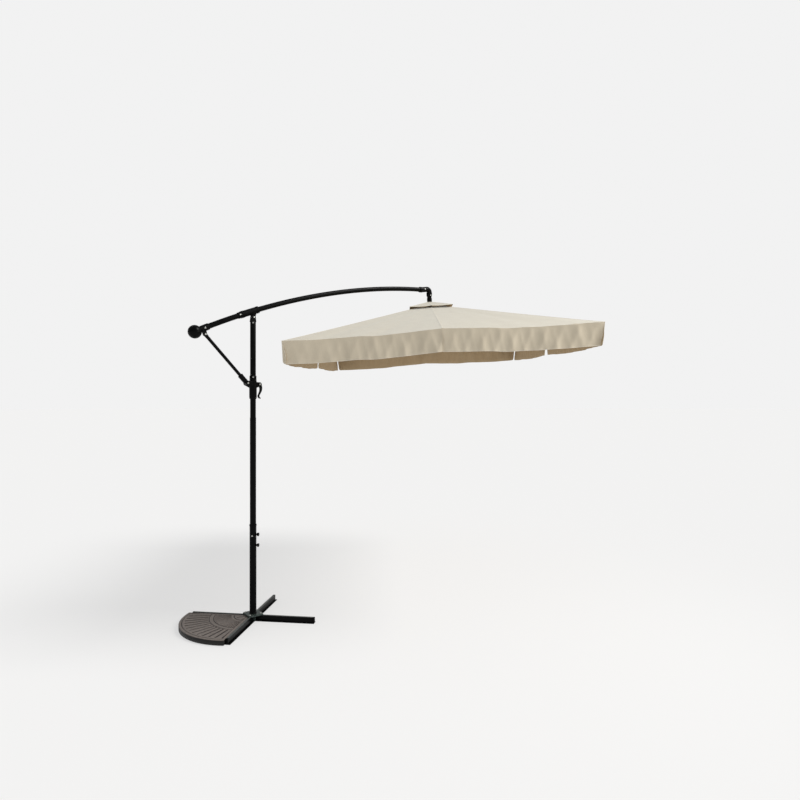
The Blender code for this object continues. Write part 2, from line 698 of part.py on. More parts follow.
def make_slider(joint):
    """Sleeve on the mast with ears for the strut on one side and for the lever on the other."""
    low, high = SLIDER_SPAN
    inner = MAST_UP_RADIUS + SLIDER_BORE_CLEARANCE
    neck = SLIDER_RADIUS - 0.002
    profile = [(neck, high), (neck, high - 0.03), (SLIDER_RADIUS, high - 0.045), (SLIDER_RADIUS, low + 0.01),
               (neck, low), (inner, low), (inner, high)]
    sleeve = turned("slider_sleeve", profile, ring=True)
    place(sleeve, None)
    inside = (MAST_UP_RADIUS + SLIDER_RADIUS) / 2
    wall = SLIDER_EAR_WALL
    strut_offset = STRUT_TONGUE / 2 + SLIDER_EAR_CLEARANCE + wall / 2
    lever_offset = LEVER_WIDTH / 2 + SLIDER_EAR_CLEARANCE + wall / 2
    ears = []
    for side in (-1, 1):
        offset = side * strut_offset
        depth = -math.sqrt(inside ** 2 - strut_offset ** 2)
        outline = eye_outline(SLIDER_PIN, SLIDER_STRUT_EAR, (depth, SLIDER_PIN[1]))
        ears.append(("strut", outline, offset, side))
        offset = side * lever_offset
        depth = math.sqrt(inside ** 2 - lever_offset ** 2)
        outline = eye_outline(LEVER_PIVOT, SLIDER_LEVER_EAR, (depth, LEVER_PIVOT[1]))
        ears.append(("lever", outline, offset, side))
    for use, outline, offset, side in ears:
        ear = upright_plate(f"slider_{use}_ear_{side + 2}", outline, wall)
        combine(sleeve, ear, "UNION", None, (0, offset, 0), UPRIGHT)
    for use, (x, z) in (("strut", SLIDER_PIN), ("lever", LEVER_PIVOT)):
        hole = rod(f"slider_{use}_hole", SLIDER_PIN_RADIUS + PIN_CLEARANCE, (0, -0.05, 0), (0, 0.05, 0),
                   SMALL_SIDES)
        combine(sleeve, hole, "DIFFERENCE", None, (x, 0, z))
    coat(sleeve, "plastic_black")
    cross_pin("slider_pin", *SLIDER_PIN, strut_offset + wall / 2, SLIDER_PIN_RADIUS)
    cross_pin("lever_pin", *LEVER_PIVOT, lever_offset + wall / 2, SLIDER_PIN_RADIUS)
    hang_under(joint, ("slider_sleeve", "slider_pin", "lever_pin"))


def ribbon_outline(path, widths):
    """Outline of a band that follows a path, its half width given at each point."""
    left, right = [], []
    for index, (x, z) in enumerate(path):
        before = path[max(index - 1, 0)]
        after = path[min(index + 1, len(path) - 1)]
        along = Vector((after[0] - before[0], after[1] - before[1])).normalized()
        across = Vector((-along.y, along.x)) * widths[index]
        left.append((x + across.x, z + across.y))
        right.append((x - across.x, z - across.y))
    return left + right[::-1]


def make_lever(joint):
    """Clamp lever: a round cam on its pivot and a blade that hangs down and curls out."""
    x, z = LEVER_PIVOT
    blade = [(x + dx, z + dz) for dx, dz, _ in LEVER_BLADE]
    band = ribbon_outline(blade, [width for _, _, width in LEVER_BLADE])
    lever = upright_plate("lock_lever", band, LEVER_WIDTH)
    place(lever, None, (0, 0, 0), UPRIGHT)
    disc = upright_plate("lever_cam", arc_points(LEVER_PIVOT, LEVER_CAM, 0, 345, 15), LEVER_WIDTH)
    combine(lever, disc, "UNION", None, (0, 0, 0), UPRIGHT)
    hole = rod("lever_hole", SLIDER_PIN_RADIUS + PIN_CLEARANCE, (0, -0.05, 0), (0, 0.05, 0), SMALL_SIDES)
    combine(lever, hole, "DIFFERENCE", None, (x, 0, z))
    coat(lever, "plastic_black")
    hang_under(joint, ("lock_lever",))


# ---------------------------------------------------------------- arm tip
def make_elbow(joint):
    """Socket on the arm's tip that bends down to a forked knuckle."""
    top = arm_height(ARM_TIP)
    x, z = KNUCKLE
    start = ARM_TIP + GAP * 2
    rise = top + ELBOW_RISE
    bend = [(x - ELBOW_BEND + ELBOW_BEND * math.sin(a), 0, rise - ELBOW_BEND + ELBOW_BEND * math.cos(a))
            for a in [math.radians(step * 18) for step in range(6)]]
    fork_top = z + KNUCKLE_RADIUS + FORK_ROOT
    lead = (start + ELBOW_LEAD, 0, top + ELBOW_LEAD * math.tan(arm_slope(ARM_TIP)))
    path = [(start, 0, top), lead] + bend + [(x, 0, fork_top)]
    elbow = as_mesh(swept("elbow", ELBOW_RADIUS, path, 3))
    place(elbow, None)
    spigot = arm_cutter("elbow_spigot", ARM_RADIUS - 2 * ARM_WALL, ARM_TIP - ELBOW_SPIGOT, ARM_TIP + 0.01)
    combine(elbow, spigot, "UNION", None)
    wall = KNUCKLE_WALL
    offset = KNUCKLE_TONGUE / 2 + GAP + wall / 2
    for side in (-1, 1):
        outline = eye_outline(KNUCKLE, KNUCKLE_RADIUS, (x, fork_top + 0.003))
        ear = upright_plate(f"elbow_ear_{side + 2}", outline, wall)
        combine(elbow, ear, "UNION", None, (0, side * offset, 0), UPRIGHT)
    hole = rod("elbow_hole", PIN_RADIUS + PIN_CLEARANCE, (0, -0.05, 0), (0, 0.05, 0), SMALL_SIDES)
    combine(elbow, hole, "DIFFERENCE", None, (x, 0, z))
    coat(elbow, "plastic_black")
    cross_pin("knuckle_pin", x, z, offset + wall / 2)
    bolt_at = (ARM_TIP + ELBOW_BOLT_OFFSET, -ELBOW_RADIUS - GAP, (top + rise) / 2)
    stub_bolt("elbow_bolt", bolt_at, UPRIGHT)
    hang_under(joint, ("elbow", "knuckle_pin", "elbow_bolt"))


def make_hanging_pole(frame):
    """Short pole below the knuckle, in the tilted frame of the canopy."""
    shoulder = -KNUCKLE_RADIUS - POLE_SHOULDER
    pole = rod("hanging_pole", POLE_RADIUS, (0, 0, shoulder), (0, 0, -POLE_DROP))
    place(pole, frame)
    outline = eye_outline((0, 0), KNUCKLE_RADIUS, (0, shoulder - 0.002))
    tongue = upright_plate("pole_tongue", outline, KNUCKLE_TONGUE)
    combine(pole, tongue, "UNION", frame, (0, 0, 0), UPRIGHT)
    hole = rod("pole_hole", PIN_RADIUS + PIN_CLEARANCE, (0, -0.05, 0), (0, 0.05, 0), SMALL_SIDES)
    combine(pole, hole, "DIFFERENCE", frame)
    coat(pole, "plastic_black")


# ---------------------------------------------------------------- canopy frame
def rib_ends():
    """Rim points of the eight ribs, anticlockwise from the short side's +X middle."""
    w, l = HALF_WIDTH, HALF_LENGTH
    return [(w, 0), (w, l), (0, l), (-w, l), (-w, 0), (-w, -l), (0, -l), (w, -l)]


def hub_height():
    return -POLE_DROP - GAP - HUB_HEIGHT / 2


def rib_geometry(end):
    """Direction, length from the pivot and fall angle of the rib that reaches a rim point."""
    plan = math.hypot(*end)
    lift = RIDGE_LIFT if end[0] == 0 else 0
    tip_height = -RIM_DROP + lift - RIB_TO_CLOTH
    run = plan - RIB_TIP_GAP - RIB_PIVOT_RADIUS
    fall = hub_height() - tip_height
    return math.atan2(end[1], end[0]), math.hypot(run, fall), math.atan2(fall, run)


def stretcher_geometry(fall_angle):
    """Distance along the rib, stretcher length and its rise, so that all ribs close together."""
    along = (LINKAGE_LENGTH ** 2 - RUNNER_REACH ** 2) / (
        2 * (LINKAGE_LENGTH - RUNNER_REACH * math.sin(fall_angle)))
    run = RIB_PIVOT_RADIUS + along * math.cos(fall_angle) - STRETCHER_PIVOT_RADIUS
    rise = RUNNER_REACH - along * math.sin(fall_angle)
    return math.hypot(run, rise), math.atan2(rise, run)


def hollow_bar(name, section, length, root):
    """Rectangular tube along +X from just inside its pivot, open at both ends."""
    width, height = section
    bm = bmesh.new()
    bmesh.ops.create_cube(bm, size=1.0)
    bmesh.ops.delete(bm, geom=[f for f in bm.faces if abs(f.normal.x) > 0.5], context="FACES_ONLY")
    bmesh.ops.scale(bm, vec=(length + root, width, height), verts=bm.verts)
    bmesh.ops.translate(bm, vec=((length - root) / 2, 0, 0), verts=bm.verts)
    piece = mesh_piece(name, bm)
    wall = piece.modifiers.new("wall", "SOLIDIFY")
    wall.thickness = SECTION_WALL
    wall.offset = -1
    return piece


def make_rib(number, end, spin):
    heading, length, fall = rib_geometry(end)
    x = RIB_PIVOT_RADIUS * math.cos(heading)
    y = RIB_PIVOT_RADIUS * math.sin(heading)
    joint = empty(f"joint_rib_{number}", spin, (x, y, hub_height()), (0, 0, heading))
    rib = hollow_bar(f"rib_{number}", RIB_SECTION, length, RIB_ROOT)
    place(rib, joint, (0, 0, 0), (0, fall, 0))
    coat(rib, "rib_grey")


def make_stretcher(number, end, runner_frame):
    heading, _, fall = rib_geometry(end)
    length, rise = stretcher_geometry(fall)
    x = STRETCHER_PIVOT_RADIUS * math.cos(heading) - STRETCHER_SIDE * math.sin(heading)
    y = STRETCHER_PIVOT_RADIUS * math.sin(heading) + STRETCHER_SIDE * math.cos(heading)
    joint = empty(f"joint_stretcher_{number}", runner_frame, (x, y, 0), (0, 0, heading))
    bar = hollow_bar(f"stretcher_{number}", STRETCHER_SECTION, length, STRETCHER_ROOT)
    place(bar, joint, (0, 0, 0), (0, -rise, 0))
    coat(bar, "rib_grey")


def make_hub(spin):
    top = hub_height() + HUB_HEIGHT / 2
    bottom = top - HUB_HEIGHT
    profile = [(0, top), (HUB_RADIUS - 0.002, top), (HUB_RADIUS, top - 0.002), (HUB_RADIUS, bottom + 0.002),
               (HUB_RADIUS - 0.002, bottom), (GUIDE_RADIUS, bottom), (GUIDE_RADIUS, -GUIDE_DROP),
               (0, -GUIDE_DROP)]
    hub = turned("rib_hub", profile)
    place(hub, spin)
    coat(hub, "plastic_black")


def make_runner(runner_frame):
    half = RUNNER_HEIGHT / 2
    runner = tube("runner", RUNNER_RADIUS, RUNNER_RADIUS - GUIDE_RADIUS - RUNNER_CLEARANCE, -half, half)
    place(runner, runner_frame)
    coat(runner, "plastic_black")


# ---------------------------------------------------------------- canopy cloth
def rim_point(end, share, z_at_rim, z_at_top):
    """Point on the cloth's straight run from the virtual apex to a rim point."""
    return (end[0] * share, end[1] * share, z_at_top + (z_at_rim - z_at_top) * share)


def cloth_sheet(name, shares, apex, rim_height, lift, valance, slit_at, ends):
    """Pyramid of cloth between ribs, with an opening in the middle and hanging flaps at the rim."""
    bm = bmesh.new()
    rings = []
    for share in shares:
        ring = []
        for end in ends:
            height = rim_height + (lift if end[0] == 0 else 0)
            ring.append(bm.verts.new(rim_point(end, share, height, apex)))
        rings.append(ring)
    count = len(ends)
    for inner, outer in zip(rings, rings[1:]):
        for i in range(count):
            j = (i + 1) % count
            bm.faces.new((inner[i], outer[i], outer[j], inner[j]))
    if valance:
        hang_flaps(bm, rings[-1], ends, valance, slit_at)
    piece = mesh_piece(name, bm)
    wall = piece.modifiers.new("cloth", "SOLIDIFY")
    wall.thickness = CLOTH
    wall.offset = -1
    wall.use_even_offset = True
    return piece


def hang_flaps(bm, rim, ends, valance, slit_at):
    """Flap under each rim edge; neighbours share an edge unless a slit parts them."""
    count = len(ends)
    lower = {}
    for i in range(count):
        j = (i + 1) % count
        along = (Vector(ends[j]) - Vector(ends[i])).normalized()
        corners = []
        for index, sign in ((i, 1), (j, -1)):
            if index in slit_at:
                inset = along * (SLIT / 2) * sign
                co = rim[index].co
                corners.append(bm.verts.new((co.x + inset.x, co.y + inset.y, co.z - valance)))
            else:
                if index not in lower:
                    lower[index] = bm.verts.new(rim[index].co - Vector((0, 0, valance)))
                corners.append(lower[index])
        bm.faces.new((rim[i], corners[0], corners[1], rim[j]))


def make_cloth(spin):
    ends = rib_ends()
    slits = [i for i, end in enumerate(ends) if end[0] != 0]
    rim = -RIM_DROP
    apex = rim + CANOPY_RISE
    canopy = cloth_sheet("canopy", (VENT_OPENING, 0.55, 1.0), apex, rim, RIDGE_LIFT, VALANCE, slits, ends)
    place(canopy, spin)
    coat(canopy, "canvas_ecru")
    cap_rim = apex - CANOPY_RISE * CAP_SHARE + CAP_LIFT
    cap_ends = [(x * CAP_SHARE, y * CAP_SHARE) for x, y in ends]
    hole = CAP_HOLE / (HALF_WIDTH * CAP_SHARE)
    cap = cloth_sheet("vent_cap", (hole, 1.0), cap_rim + CAP_RISE, cap_rim, 0, 0, (), cap_ends)
    place(cap, spin)
    coat(cap, "canvas_ecru")


# ---------------------------------------------------------------- assembly
def main():
    clear_scene()
    cross = empty("cross_frame", None, (0, 0, 0), (0, 0, math.radians(45)))
    make_legs(cross)
    plate_top = make_cross_core(cross)
    flange_top = make_foot_tube(plate_top + GAP)
    make_foot_fasteners(flange_top)
    for number, height in enumerate(THUMB_SCREW_HEIGHTS, 1):
        make_thumb_screw(number, height)
    make_slab(cross)

    make_mast(flange_top)
    head_face = make_mast_head()
    cross_pin("head_pin", 0, HEAD_PIVOT_HEIGHT, head_face)

    arm_joint = empty("joint_arm_tilt", None, (0, 0, HEAD_PIVOT_HEIGHT))
    make_arm(arm_joint)
    strut_joint = empty("joint_strut", None, (STRUT_TOP[0], 0, STRUT_TOP[1]))
    make_strut(strut_joint)
    slider_joint = empty("joint_slider", None, (0, 0, SLIDER_PIN[1]))
    make_slider(slider_joint)
    lever_joint = empty("joint_lever", None, (LEVER_PIVOT[0], 0, LEVER_PIVOT[1]))
    make_lever(lever_joint)

    make_elbow(arm_joint)
    tilt = empty("joint_canopy_tilt", None, (KNUCKLE[0], 0, KNUCKLE[1]), (0, math.radians(-CANOPY_TILT), 0))
    make_hanging_pole(tilt)
    spin = empty("joint_canopy_spin", tilt, (0, 0, 0), (0, 0, math.radians(CANOPY_TURN)))
    make_hub(spin)
    runner_frame = empty("joint_runner", spin, (0, 0, hub_height() - RUNNER_REACH))
    make_runner(runner_frame)
    for number, end in enumerate(rib_ends(), 1):
        make_rib(number, end, spin)
        make_stretcher(number, end, runner_frame)
    make_cloth(spin)


main()
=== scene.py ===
import json
import math

import bmesh
import bpy
import numpy as np
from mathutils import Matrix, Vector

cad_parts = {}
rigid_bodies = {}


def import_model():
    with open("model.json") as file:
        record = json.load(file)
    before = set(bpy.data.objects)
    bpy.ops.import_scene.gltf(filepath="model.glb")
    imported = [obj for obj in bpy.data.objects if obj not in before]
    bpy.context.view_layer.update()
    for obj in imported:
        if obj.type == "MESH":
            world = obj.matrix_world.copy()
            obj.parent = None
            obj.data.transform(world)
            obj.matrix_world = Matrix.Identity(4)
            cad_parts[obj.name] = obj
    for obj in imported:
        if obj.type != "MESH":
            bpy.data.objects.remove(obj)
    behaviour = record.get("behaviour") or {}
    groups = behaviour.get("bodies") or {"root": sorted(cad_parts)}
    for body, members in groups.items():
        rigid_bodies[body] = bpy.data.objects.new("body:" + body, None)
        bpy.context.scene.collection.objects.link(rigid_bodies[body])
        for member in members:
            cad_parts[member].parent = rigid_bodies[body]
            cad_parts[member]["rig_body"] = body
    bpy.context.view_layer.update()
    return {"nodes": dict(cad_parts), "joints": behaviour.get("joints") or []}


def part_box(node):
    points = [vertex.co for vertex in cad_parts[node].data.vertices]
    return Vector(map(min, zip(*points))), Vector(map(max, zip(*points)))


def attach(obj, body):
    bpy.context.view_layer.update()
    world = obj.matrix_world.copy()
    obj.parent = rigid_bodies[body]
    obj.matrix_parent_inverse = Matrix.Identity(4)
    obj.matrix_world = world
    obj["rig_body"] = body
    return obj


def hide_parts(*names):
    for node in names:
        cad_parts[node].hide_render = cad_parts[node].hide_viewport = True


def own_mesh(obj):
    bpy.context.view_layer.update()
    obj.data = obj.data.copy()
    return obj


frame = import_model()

joints = {joint["name"]: joint for joint in frame["joints"]}
print("stage: frame loaded")


# A direction scaled to length one.
def unit(vector):
    vector = np.asarray(vector, float)
    return vector / np.linalg.norm(vector)


# Smooth step from 0 to 1 while value goes from low to high.
def ease(value, low, high):
    share = np.clip((value - low) / (high - low), 0, 1)
    return share * share * (3 - 2 * share)


# ---- camera, floor and light
cameraView = dict(place=(-1.7745, -4.0193, 1.521), ahead=(0.6088, 0.7934, 0.0), lens=27.09, sensor=36.0,
                  shiftX=0.0006, shiftY=0.0068)
floorLook = dict(reach=300.0, colour=(0.30, 0.30, 0.30), glow=0.575, rough=0.9)
skyLook = dict(colour=(1.0, 1.0, 1.0), seen=0.887, lit=0.46)
sunLook = dict(towards=(0.60, -0.55, 0.80), spread=26.0, power=2.65, colour=(1.0, 0.985, 0.96))
sideLook = dict(place=(2.25, -3.05, 2.55), target=(1.35, -1.70, 2.10), size=1.2, power=20.0,
                colour=(1.0, 0.97, 0.92))


def makeCamera():
    data = bpy.data.cameras.new("viewCamera")
    data.lens = cameraView["lens"]
    data.sensor_width = cameraView["sensor"]
    data.shift_x = cameraView["shiftX"]
    data.shift_y = cameraView["shiftY"]
    camera = bpy.data.objects.new("viewCamera", data)
    bpy.context.scene.collection.objects.link(camera)
    camera.location = cameraView["place"]
    east, north, _ = cameraView["ahead"]
    camera.rotation_euler = (math.pi / 2, 0, math.atan2(-east, north))
    bpy.context.scene.camera = camera


# A lamp with its look's power and colour, turned so that it shines from the given direction.
def makeLamp(name, kind, look, away):
    data = bpy.data.lights.new(name, kind)
    data.energy = look["power"]
    data.color = look["colour"]
    lamp = bpy.data.objects.new(name, data)
    bpy.context.scene.collection.objects.link(lamp)
    away = unit(away)
    lamp.rotation_euler = (math.acos(away[2]), 0, math.atan2(away[1], away[0]) + math.pi / 2)
    return lamp


# One broad sun, a warm lamp beside the canopy's near right corner, and a sky whose brightness for the eye
# differs from the one that lights the object.
def makeLamps():
    sun = makeLamp("softSun", "SUN", sunLook, sunLook["towards"])
    sun.data.angle = math.radians(sunLook["spread"])
    side = makeLamp("sideLamp", "AREA", sideLook, np.array(sideLook["place"]) - np.array(sideLook["target"]))
    side.data.size = sideLook["size"]
    side.location = sideLook["place"]
    world = bpy.data.worlds.new("studio")
    world.use_nodes = True
    nodes, links = world.node_tree.nodes, world.node_tree.links
    sky = nodes["Background"]
    sky.inputs["Color"].default_value = (*skyLook["colour"], 1)
    path = nodes.new("ShaderNodeLightPath")
    level = nodes.new("ShaderNodeMapRange")
    level.inputs["To Min"].default_value = skyLook["lit"]
    level.inputs["To Max"].default_value = skyLook["seen"]
    links.new(path.outputs["Is Camera Ray"], level.inputs["Value"])
    links.new(level.outputs["Result"], sky.inputs["Strength"])
    bpy.context.scene.world = world
    bpy.context.scene.view_settings.view_transform = "Standard"


def makeFloor():
    reach = floorLook["reach"]
    mesh = bpy.data.meshes.new("studioFloor")
    corners = [(-reach, -reach, 0), (reach, -reach, 0), (reach, reach, 0), (-reach, reach, 0)]
    mesh.from_pydata(corners, [], [(0, 1, 2, 3)])
    floor = bpy.data.objects.new("studioFloor", mesh)
    bpy.context.scene.collection.objects.link(floor)
    paint = bpy.data.materials.new("studioFloor")
    paint.use_nodes = True
    shader = paint.node_tree.nodes["Principled BSDF"]
    shader.inputs["Base Color"].default_value = (*floorLook["colour"], 1)
    shader.inputs["Roughness"].default_value = floorLook["rough"]
    shader.inputs["Specular IOR Level"].default_value = 0.0
    shader.inputs["Emission Color"].default_value = (1, 1, 1, 1)
    shader.inputs["Emission Strength"].default_value = floorLook["glow"]
    mesh.materials.append(paint)


makeCamera()
makeLamps()
makeFloor()
print("stage: camera, lamps and floor")


# ---- node groups: colour mottle with fine grain, and woven cloth
def addSocket(group, name, kind, way, value=None):
    socket = group.interface.new_socket(name=name, in_out=way, socket_type=kind)
    if value is not None:
        socket.default_value = value


# Two noises: a broad one mixes two colours and two roughness values, a fine one is the grain's height.
def makeMottleGroup():
    group = bpy.data.node_groups.new("mottle", "ShaderNodeTree")
    addSocket(group, "Vector", "NodeSocketVector", "INPUT")
    addSocket(group, "Patch Scale", "NodeSocketFloat", "INPUT", 8.0)
    addSocket(group, "Grain Scale", "NodeSocketFloat", "INPUT", 600.0)
    addSocket(group, "Dark", "NodeSocketColor", "INPUT", (0.1, 0.1, 0.1, 1))
    addSocket(group, "Light", "NodeSocketColor", "INPUT", (0.2, 0.2, 0.2, 1))
    addSocket(group, "Rough Low", "NodeSocketFloat", "INPUT", 0.3)
    addSocket(group, "Rough High", "NodeSocketFloat", "INPUT", 0.5)
    addSocket(group, "Color", "NodeSocketColor", "OUTPUT")
    addSocket(group, "Roughness", "NodeSocketFloat", "OUTPUT")
    addSocket(group, "Height", "NodeSocketFloat", "OUTPUT")
    nodes, links = group.nodes, group.links
    inlet = nodes.new("NodeGroupInput")
    outlet = nodes.new("NodeGroupOutput")
    patch = nodes.new("ShaderNodeTexNoise")
    patch.inputs["Detail"].default_value = 5
    links.new(inlet.outputs["Vector"], patch.inputs["Vector"])
    links.new(inlet.outputs["Patch Scale"], patch.inputs["Scale"])
    stretch = nodes.new("ShaderNodeMapRange")
    stretch.inputs["From Min"].default_value = 0.32
    stretch.inputs["From Max"].default_value = 0.68
    links.new(patch.outputs["Fac"], stretch.inputs["Value"])
    mix = nodes.new("ShaderNodeMix")
    mix.data_type = "RGBA"
    links.new(stretch.outputs["Result"], mix.inputs["Factor"])
    links.new(inlet.outputs["Dark"], mix.inputs["A"])
    links.new(inlet.outputs["Light"], mix.inputs["B"])
    links.new(mix.outputs["Result"], outlet.inputs["Color"])
    rough = nodes.new("ShaderNodeMapRange")
    links.new(stretch.outputs["Result"], rough.inputs["Value"])
    links.new(inlet.outputs["Rough Low"], rough.inputs["To Min"])
    links.new(inlet.outputs["Rough High"], rough.inputs["To Max"])
    links.new(rough.outputs["Result"], outlet.inputs["Roughness"])
    grain = nodes.new("ShaderNodeTexNoise")
    grain.inputs["Detail"].default_value = 3
    links.new(inlet.outputs["Vector"], grain.inputs["Vector"])
    links.new(inlet.outputs["Grain Scale"], grain.inputs["Scale"])
    links.new(grain.outputs["Fac"], outlet.inputs["Height"])
    return group


# Threads along U and V: the product of two sine waves is the height, a stretched noise tints single threads.
def makeWeaveGroup():
    group = bpy.data.node_groups.new("weave", "ShaderNodeTree")
    addSocket(group, "Vector", "NodeSocketVector", "INPUT")
    addSocket(group, "Threads", "NodeSocketFloat", "INPUT", 700.0)
    addSocket(group, "Base", "NodeSocketColor", "INPUT", (0.5, 0.5, 0.5, 1))
    addSocket(group, "Shade", "NodeSocketColor", "INPUT", (0.4, 0.4, 0.4, 1))
    addSocket(group, "Color", "NodeSocketColor", "OUTPUT")
    addSocket(group, "Height", "NodeSocketFloat", "OUTPUT")
    nodes, links = group.nodes, group.links
    inlet = nodes.new("NodeGroupInput")
    outlet = nodes.new("NodeGroupOutput")
    parts = nodes.new("ShaderNodeSeparateXYZ")
    links.new(inlet.outputs["Vector"], parts.inputs["Vector"])
    waves = []
    for way in ("X", "Y"):
        turn = nodes.new("ShaderNodeMath")
        turn.operation = "MULTIPLY"
        links.new(parts.outputs[way], turn.inputs[0])
        links.new(inlet.outputs["Threads"], turn.inputs[1])
        wave = nodes.new("ShaderNodeMath")
        wave.operation = "SINE"
        links.new(turn.outputs[0], wave.inputs[0])
        waves.append(wave)
    cross = nodes.new("ShaderNodeMath")
    cross.operation = "MULTIPLY"
    links.new(waves[0].outputs[0], cross.inputs[0])
    links.new(waves[1].outputs[0], cross.inputs[1])
    links.new(cross.outputs[0], outlet.inputs["Height"])
    streak = nodes.new("ShaderNodeTexNoise")
    streak.inputs["Scale"].default_value = 9
    streak.inputs["Detail"].default_value = 6
    links.new(inlet.outputs["Vector"], streak.inputs["Vector"])
    stretch = nodes.new("ShaderNodeMapRange")
    stretch.inputs["From Min"].default_value = 0.3
    stretch.inputs["From Max"].default_value = 0.7
    links.new(streak.outputs["Fac"], stretch.inputs["Value"])
    mix = nodes.new("ShaderNodeMix")
    mix.data_type = "RGBA"
    links.new(stretch.outputs["Result"], mix.inputs["Factor"])
    links.new(inlet.outputs["Base"], mix.inputs["A"])
    links.new(inlet.outputs["Shade"], mix.inputs["B"])
    links.new(mix.outputs["Result"], outlet.inputs["Color"])
    return group


mottle = makeMottleGroup()
weave = makeWeaveGroup()

# patch and grain are the two noises' scales, depth the grain's height in metres.
hardFinishes = dict(
    powderBlack=dict(dark=(0.0008, 0.0010, 0.0010), light=(0.0024, 0.0026, 0.0028), rough=(0.26, 0.36),
                     metal=0.0, spec=0.07, patch=14, grain=900, bump=0.10, depth=0.0004),
    mouldedBlack=dict(dark=(0.0008, 0.0008, 0.0010), light=(0.0024, 0.0024, 0.0027), rough=(0.34, 0.46),
                      metal=0.0, spec=0.08, patch=30, grain=1500, bump=0.18, depth=0.0003),
    glossBlack=dict(dark=(0.0008, 0.0010, 0.0012), light=(0.0018, 0.0020, 0.0022), rough=(0.24, 0.32),
                    metal=0.0, spec=0.07, patch=20, grain=200, bump=0.02, depth=0.0003),
    zincPlate=dict(dark=(0.42, 0.43, 0.40), light=(0.62, 0.63, 0.60), rough=(0.24, 0.40), metal=0.9,
                   spec=0.5, patch=90, grain=2500, bump=0.10, depth=0.0002),
    plateGreen=dict(dark=(0.018, 0.030, 0.027), light=(0.085, 0.11, 0.10), rough=(0.25, 0.48), metal=0.35,
                    spec=0.4, patch=45, grain=700, bump=0.15, depth=0.0004),
    ribGrey=dict(dark=(0.055, 0.055, 0.056), light=(0.095, 0.095, 0.096), rough=(0.32, 0.46), metal=0.7,
                 spec=0.5, patch=18, grain=900, bump=0.10, depth=0.0003),
    # Painted highlight: a lighter grey-green finish for the legs' upper faces.
    paintedTopHighlight=dict(dark=(0.030, 0.034, 0.033), light=(0.11, 0.12, 0.115), rough=(0.30, 0.50), metal=0.0,
                 spec=0.4, patch=26, grain=900, bump=0.12, depth=0.0003))


# Principled material in a hard finish: the mottle group on object coordinates, its grain as a bump.
def makeHardMaterial(name, look):
    material = bpy.data.materials.new(name)
    material.use_nodes = True
    nodes, links = material.node_tree.nodes, material.node_tree.links
    shader = nodes["Principled BSDF"]
    shader.inputs["Metallic"].default_value = look["metal"]
    shader.inputs["Specular IOR Level"].default_value = look["spec"]
    place = nodes.new("ShaderNodeTexCoord")
    spots = nodes.new("ShaderNodeGroup")
    spots.node_tree = mottle
    spots.inputs["Patch Scale"].default_value = look["patch"]
    spots.inputs["Grain Scale"].default_value = look["grain"]
    spots.inputs["Dark"].default_value = (*look["dark"], 1)
    spots.inputs["Light"].default_value = (*look["light"], 1)
    spots.inputs["Rough Low"].default_value = look["rough"][0]
    spots.inputs["Rough High"].default_value = look["rough"][1]
    links.new(place.outputs["Object"], spots.inputs["Vector"])
    links.new(spots.outputs["Color"], shader.inputs["Base Color"])
    links.new(spots.outputs["Roughness"], shader.inputs["Roughness"])
    bump = nodes.new("ShaderNodeBump")
    bump.inputs["Strength"].default_value = look["bump"]
    bump.inputs["Distance"].default_value = look["depth"]
    links.new(spots.outputs["Height"], bump.inputs["Height"])
    links.new(bump.outputs["Normal"], shader.inputs["Normal"])
    return material


hard = {name: makeHardMaterial(name, look) for name, look in hardFinishes.items()}

clothFinishes = dict(
    canvasOuter=dict(base=(0.60, 0.53, 0.41), shade=(0.565, 0.495, 0.38), rough=0.92, sheen=0.55),
    # The inner canvas is a darker, browner copy of the outer: painted shade with the warm tint of light
    # shining through the cloth.
    canvasInnerShade=dict(base=(0.47, 0.365, 0.235), shade=(0.44, 0.34, 0.215), rough=0.95, sheen=0.0),
    canvasTrim=dict(base=(0.66, 0.60, 0.49), shade=(0.62, 0.56, 0.46), rough=0.9, sheen=0.3))
weaveLook = dict(pitch=0.0016, bump=0.12, depth=0.0003, spec=0.2, sheenRough=0.45,
                 sheenTint=(0.86, 0.95, 1.0))


# Woven cloth on the piece's own UV map, which is in metres.
def makeClothMaterial(name, look):
    material = bpy.data.materials.new(name)
    material.use_nodes = True
    nodes, links = material.node_tree.nodes, material.node_tree.links
    shader = nodes["Principled BSDF"]
    shader.inputs["Roughness"].default_value = look["rough"]
    shader.inputs["Sheen Weight"].default_value = look["sheen"]
    shader.inputs["Sheen Roughness"].default_value = weaveLook["sheenRough"]
    shader.inputs["Sheen Tint"].default_value = (*weaveLook["sheenTint"], 1)
    shader.inputs["Specular IOR Level"].default_value = weaveLook["spec"]
    place = nodes.new("ShaderNodeUVMap")
    place.uv_map = "cloth"
    threads = nodes.new("ShaderNodeGroup")
    threads.node_tree = weave
    threads.inputs["Threads"].default_value = 2 * math.pi / weaveLook["pitch"]
    threads.inputs["Base"].default_value = (*look["base"], 1)
    threads.inputs["Shade"].default_value = (*look["shade"], 1)
    links.new(place.outputs["UV"], threads.inputs["Vector"])
    links.new(threads.outputs["Color"], shader.inputs["Base Color"])
    bump = nodes.new("ShaderNodeBump")
    bump.inputs["Strength"].default_value = weaveLook["bump"]
    bump.inputs["Distance"].default_value = weaveLook["depth"]
    links.new(threads.outputs["Height"], bump.inputs["Height"])
    links.new(bump.outputs["Normal"], shader.inputs["Normal"])
    return material


cloth = {name: makeClothMaterial(name, look) for name, look in clothFinishes.items()}
# low is the colour of the painted shade in the grooves and on the walls.
slabFinish = dict(low=(0.004, 0.003, 0.0025), high=(0.185, 0.158, 0.143), rough=(0.42, 0.62), metal=0.15,
                  patch=60, grain=500, bump=0.3, depth=0.0006)
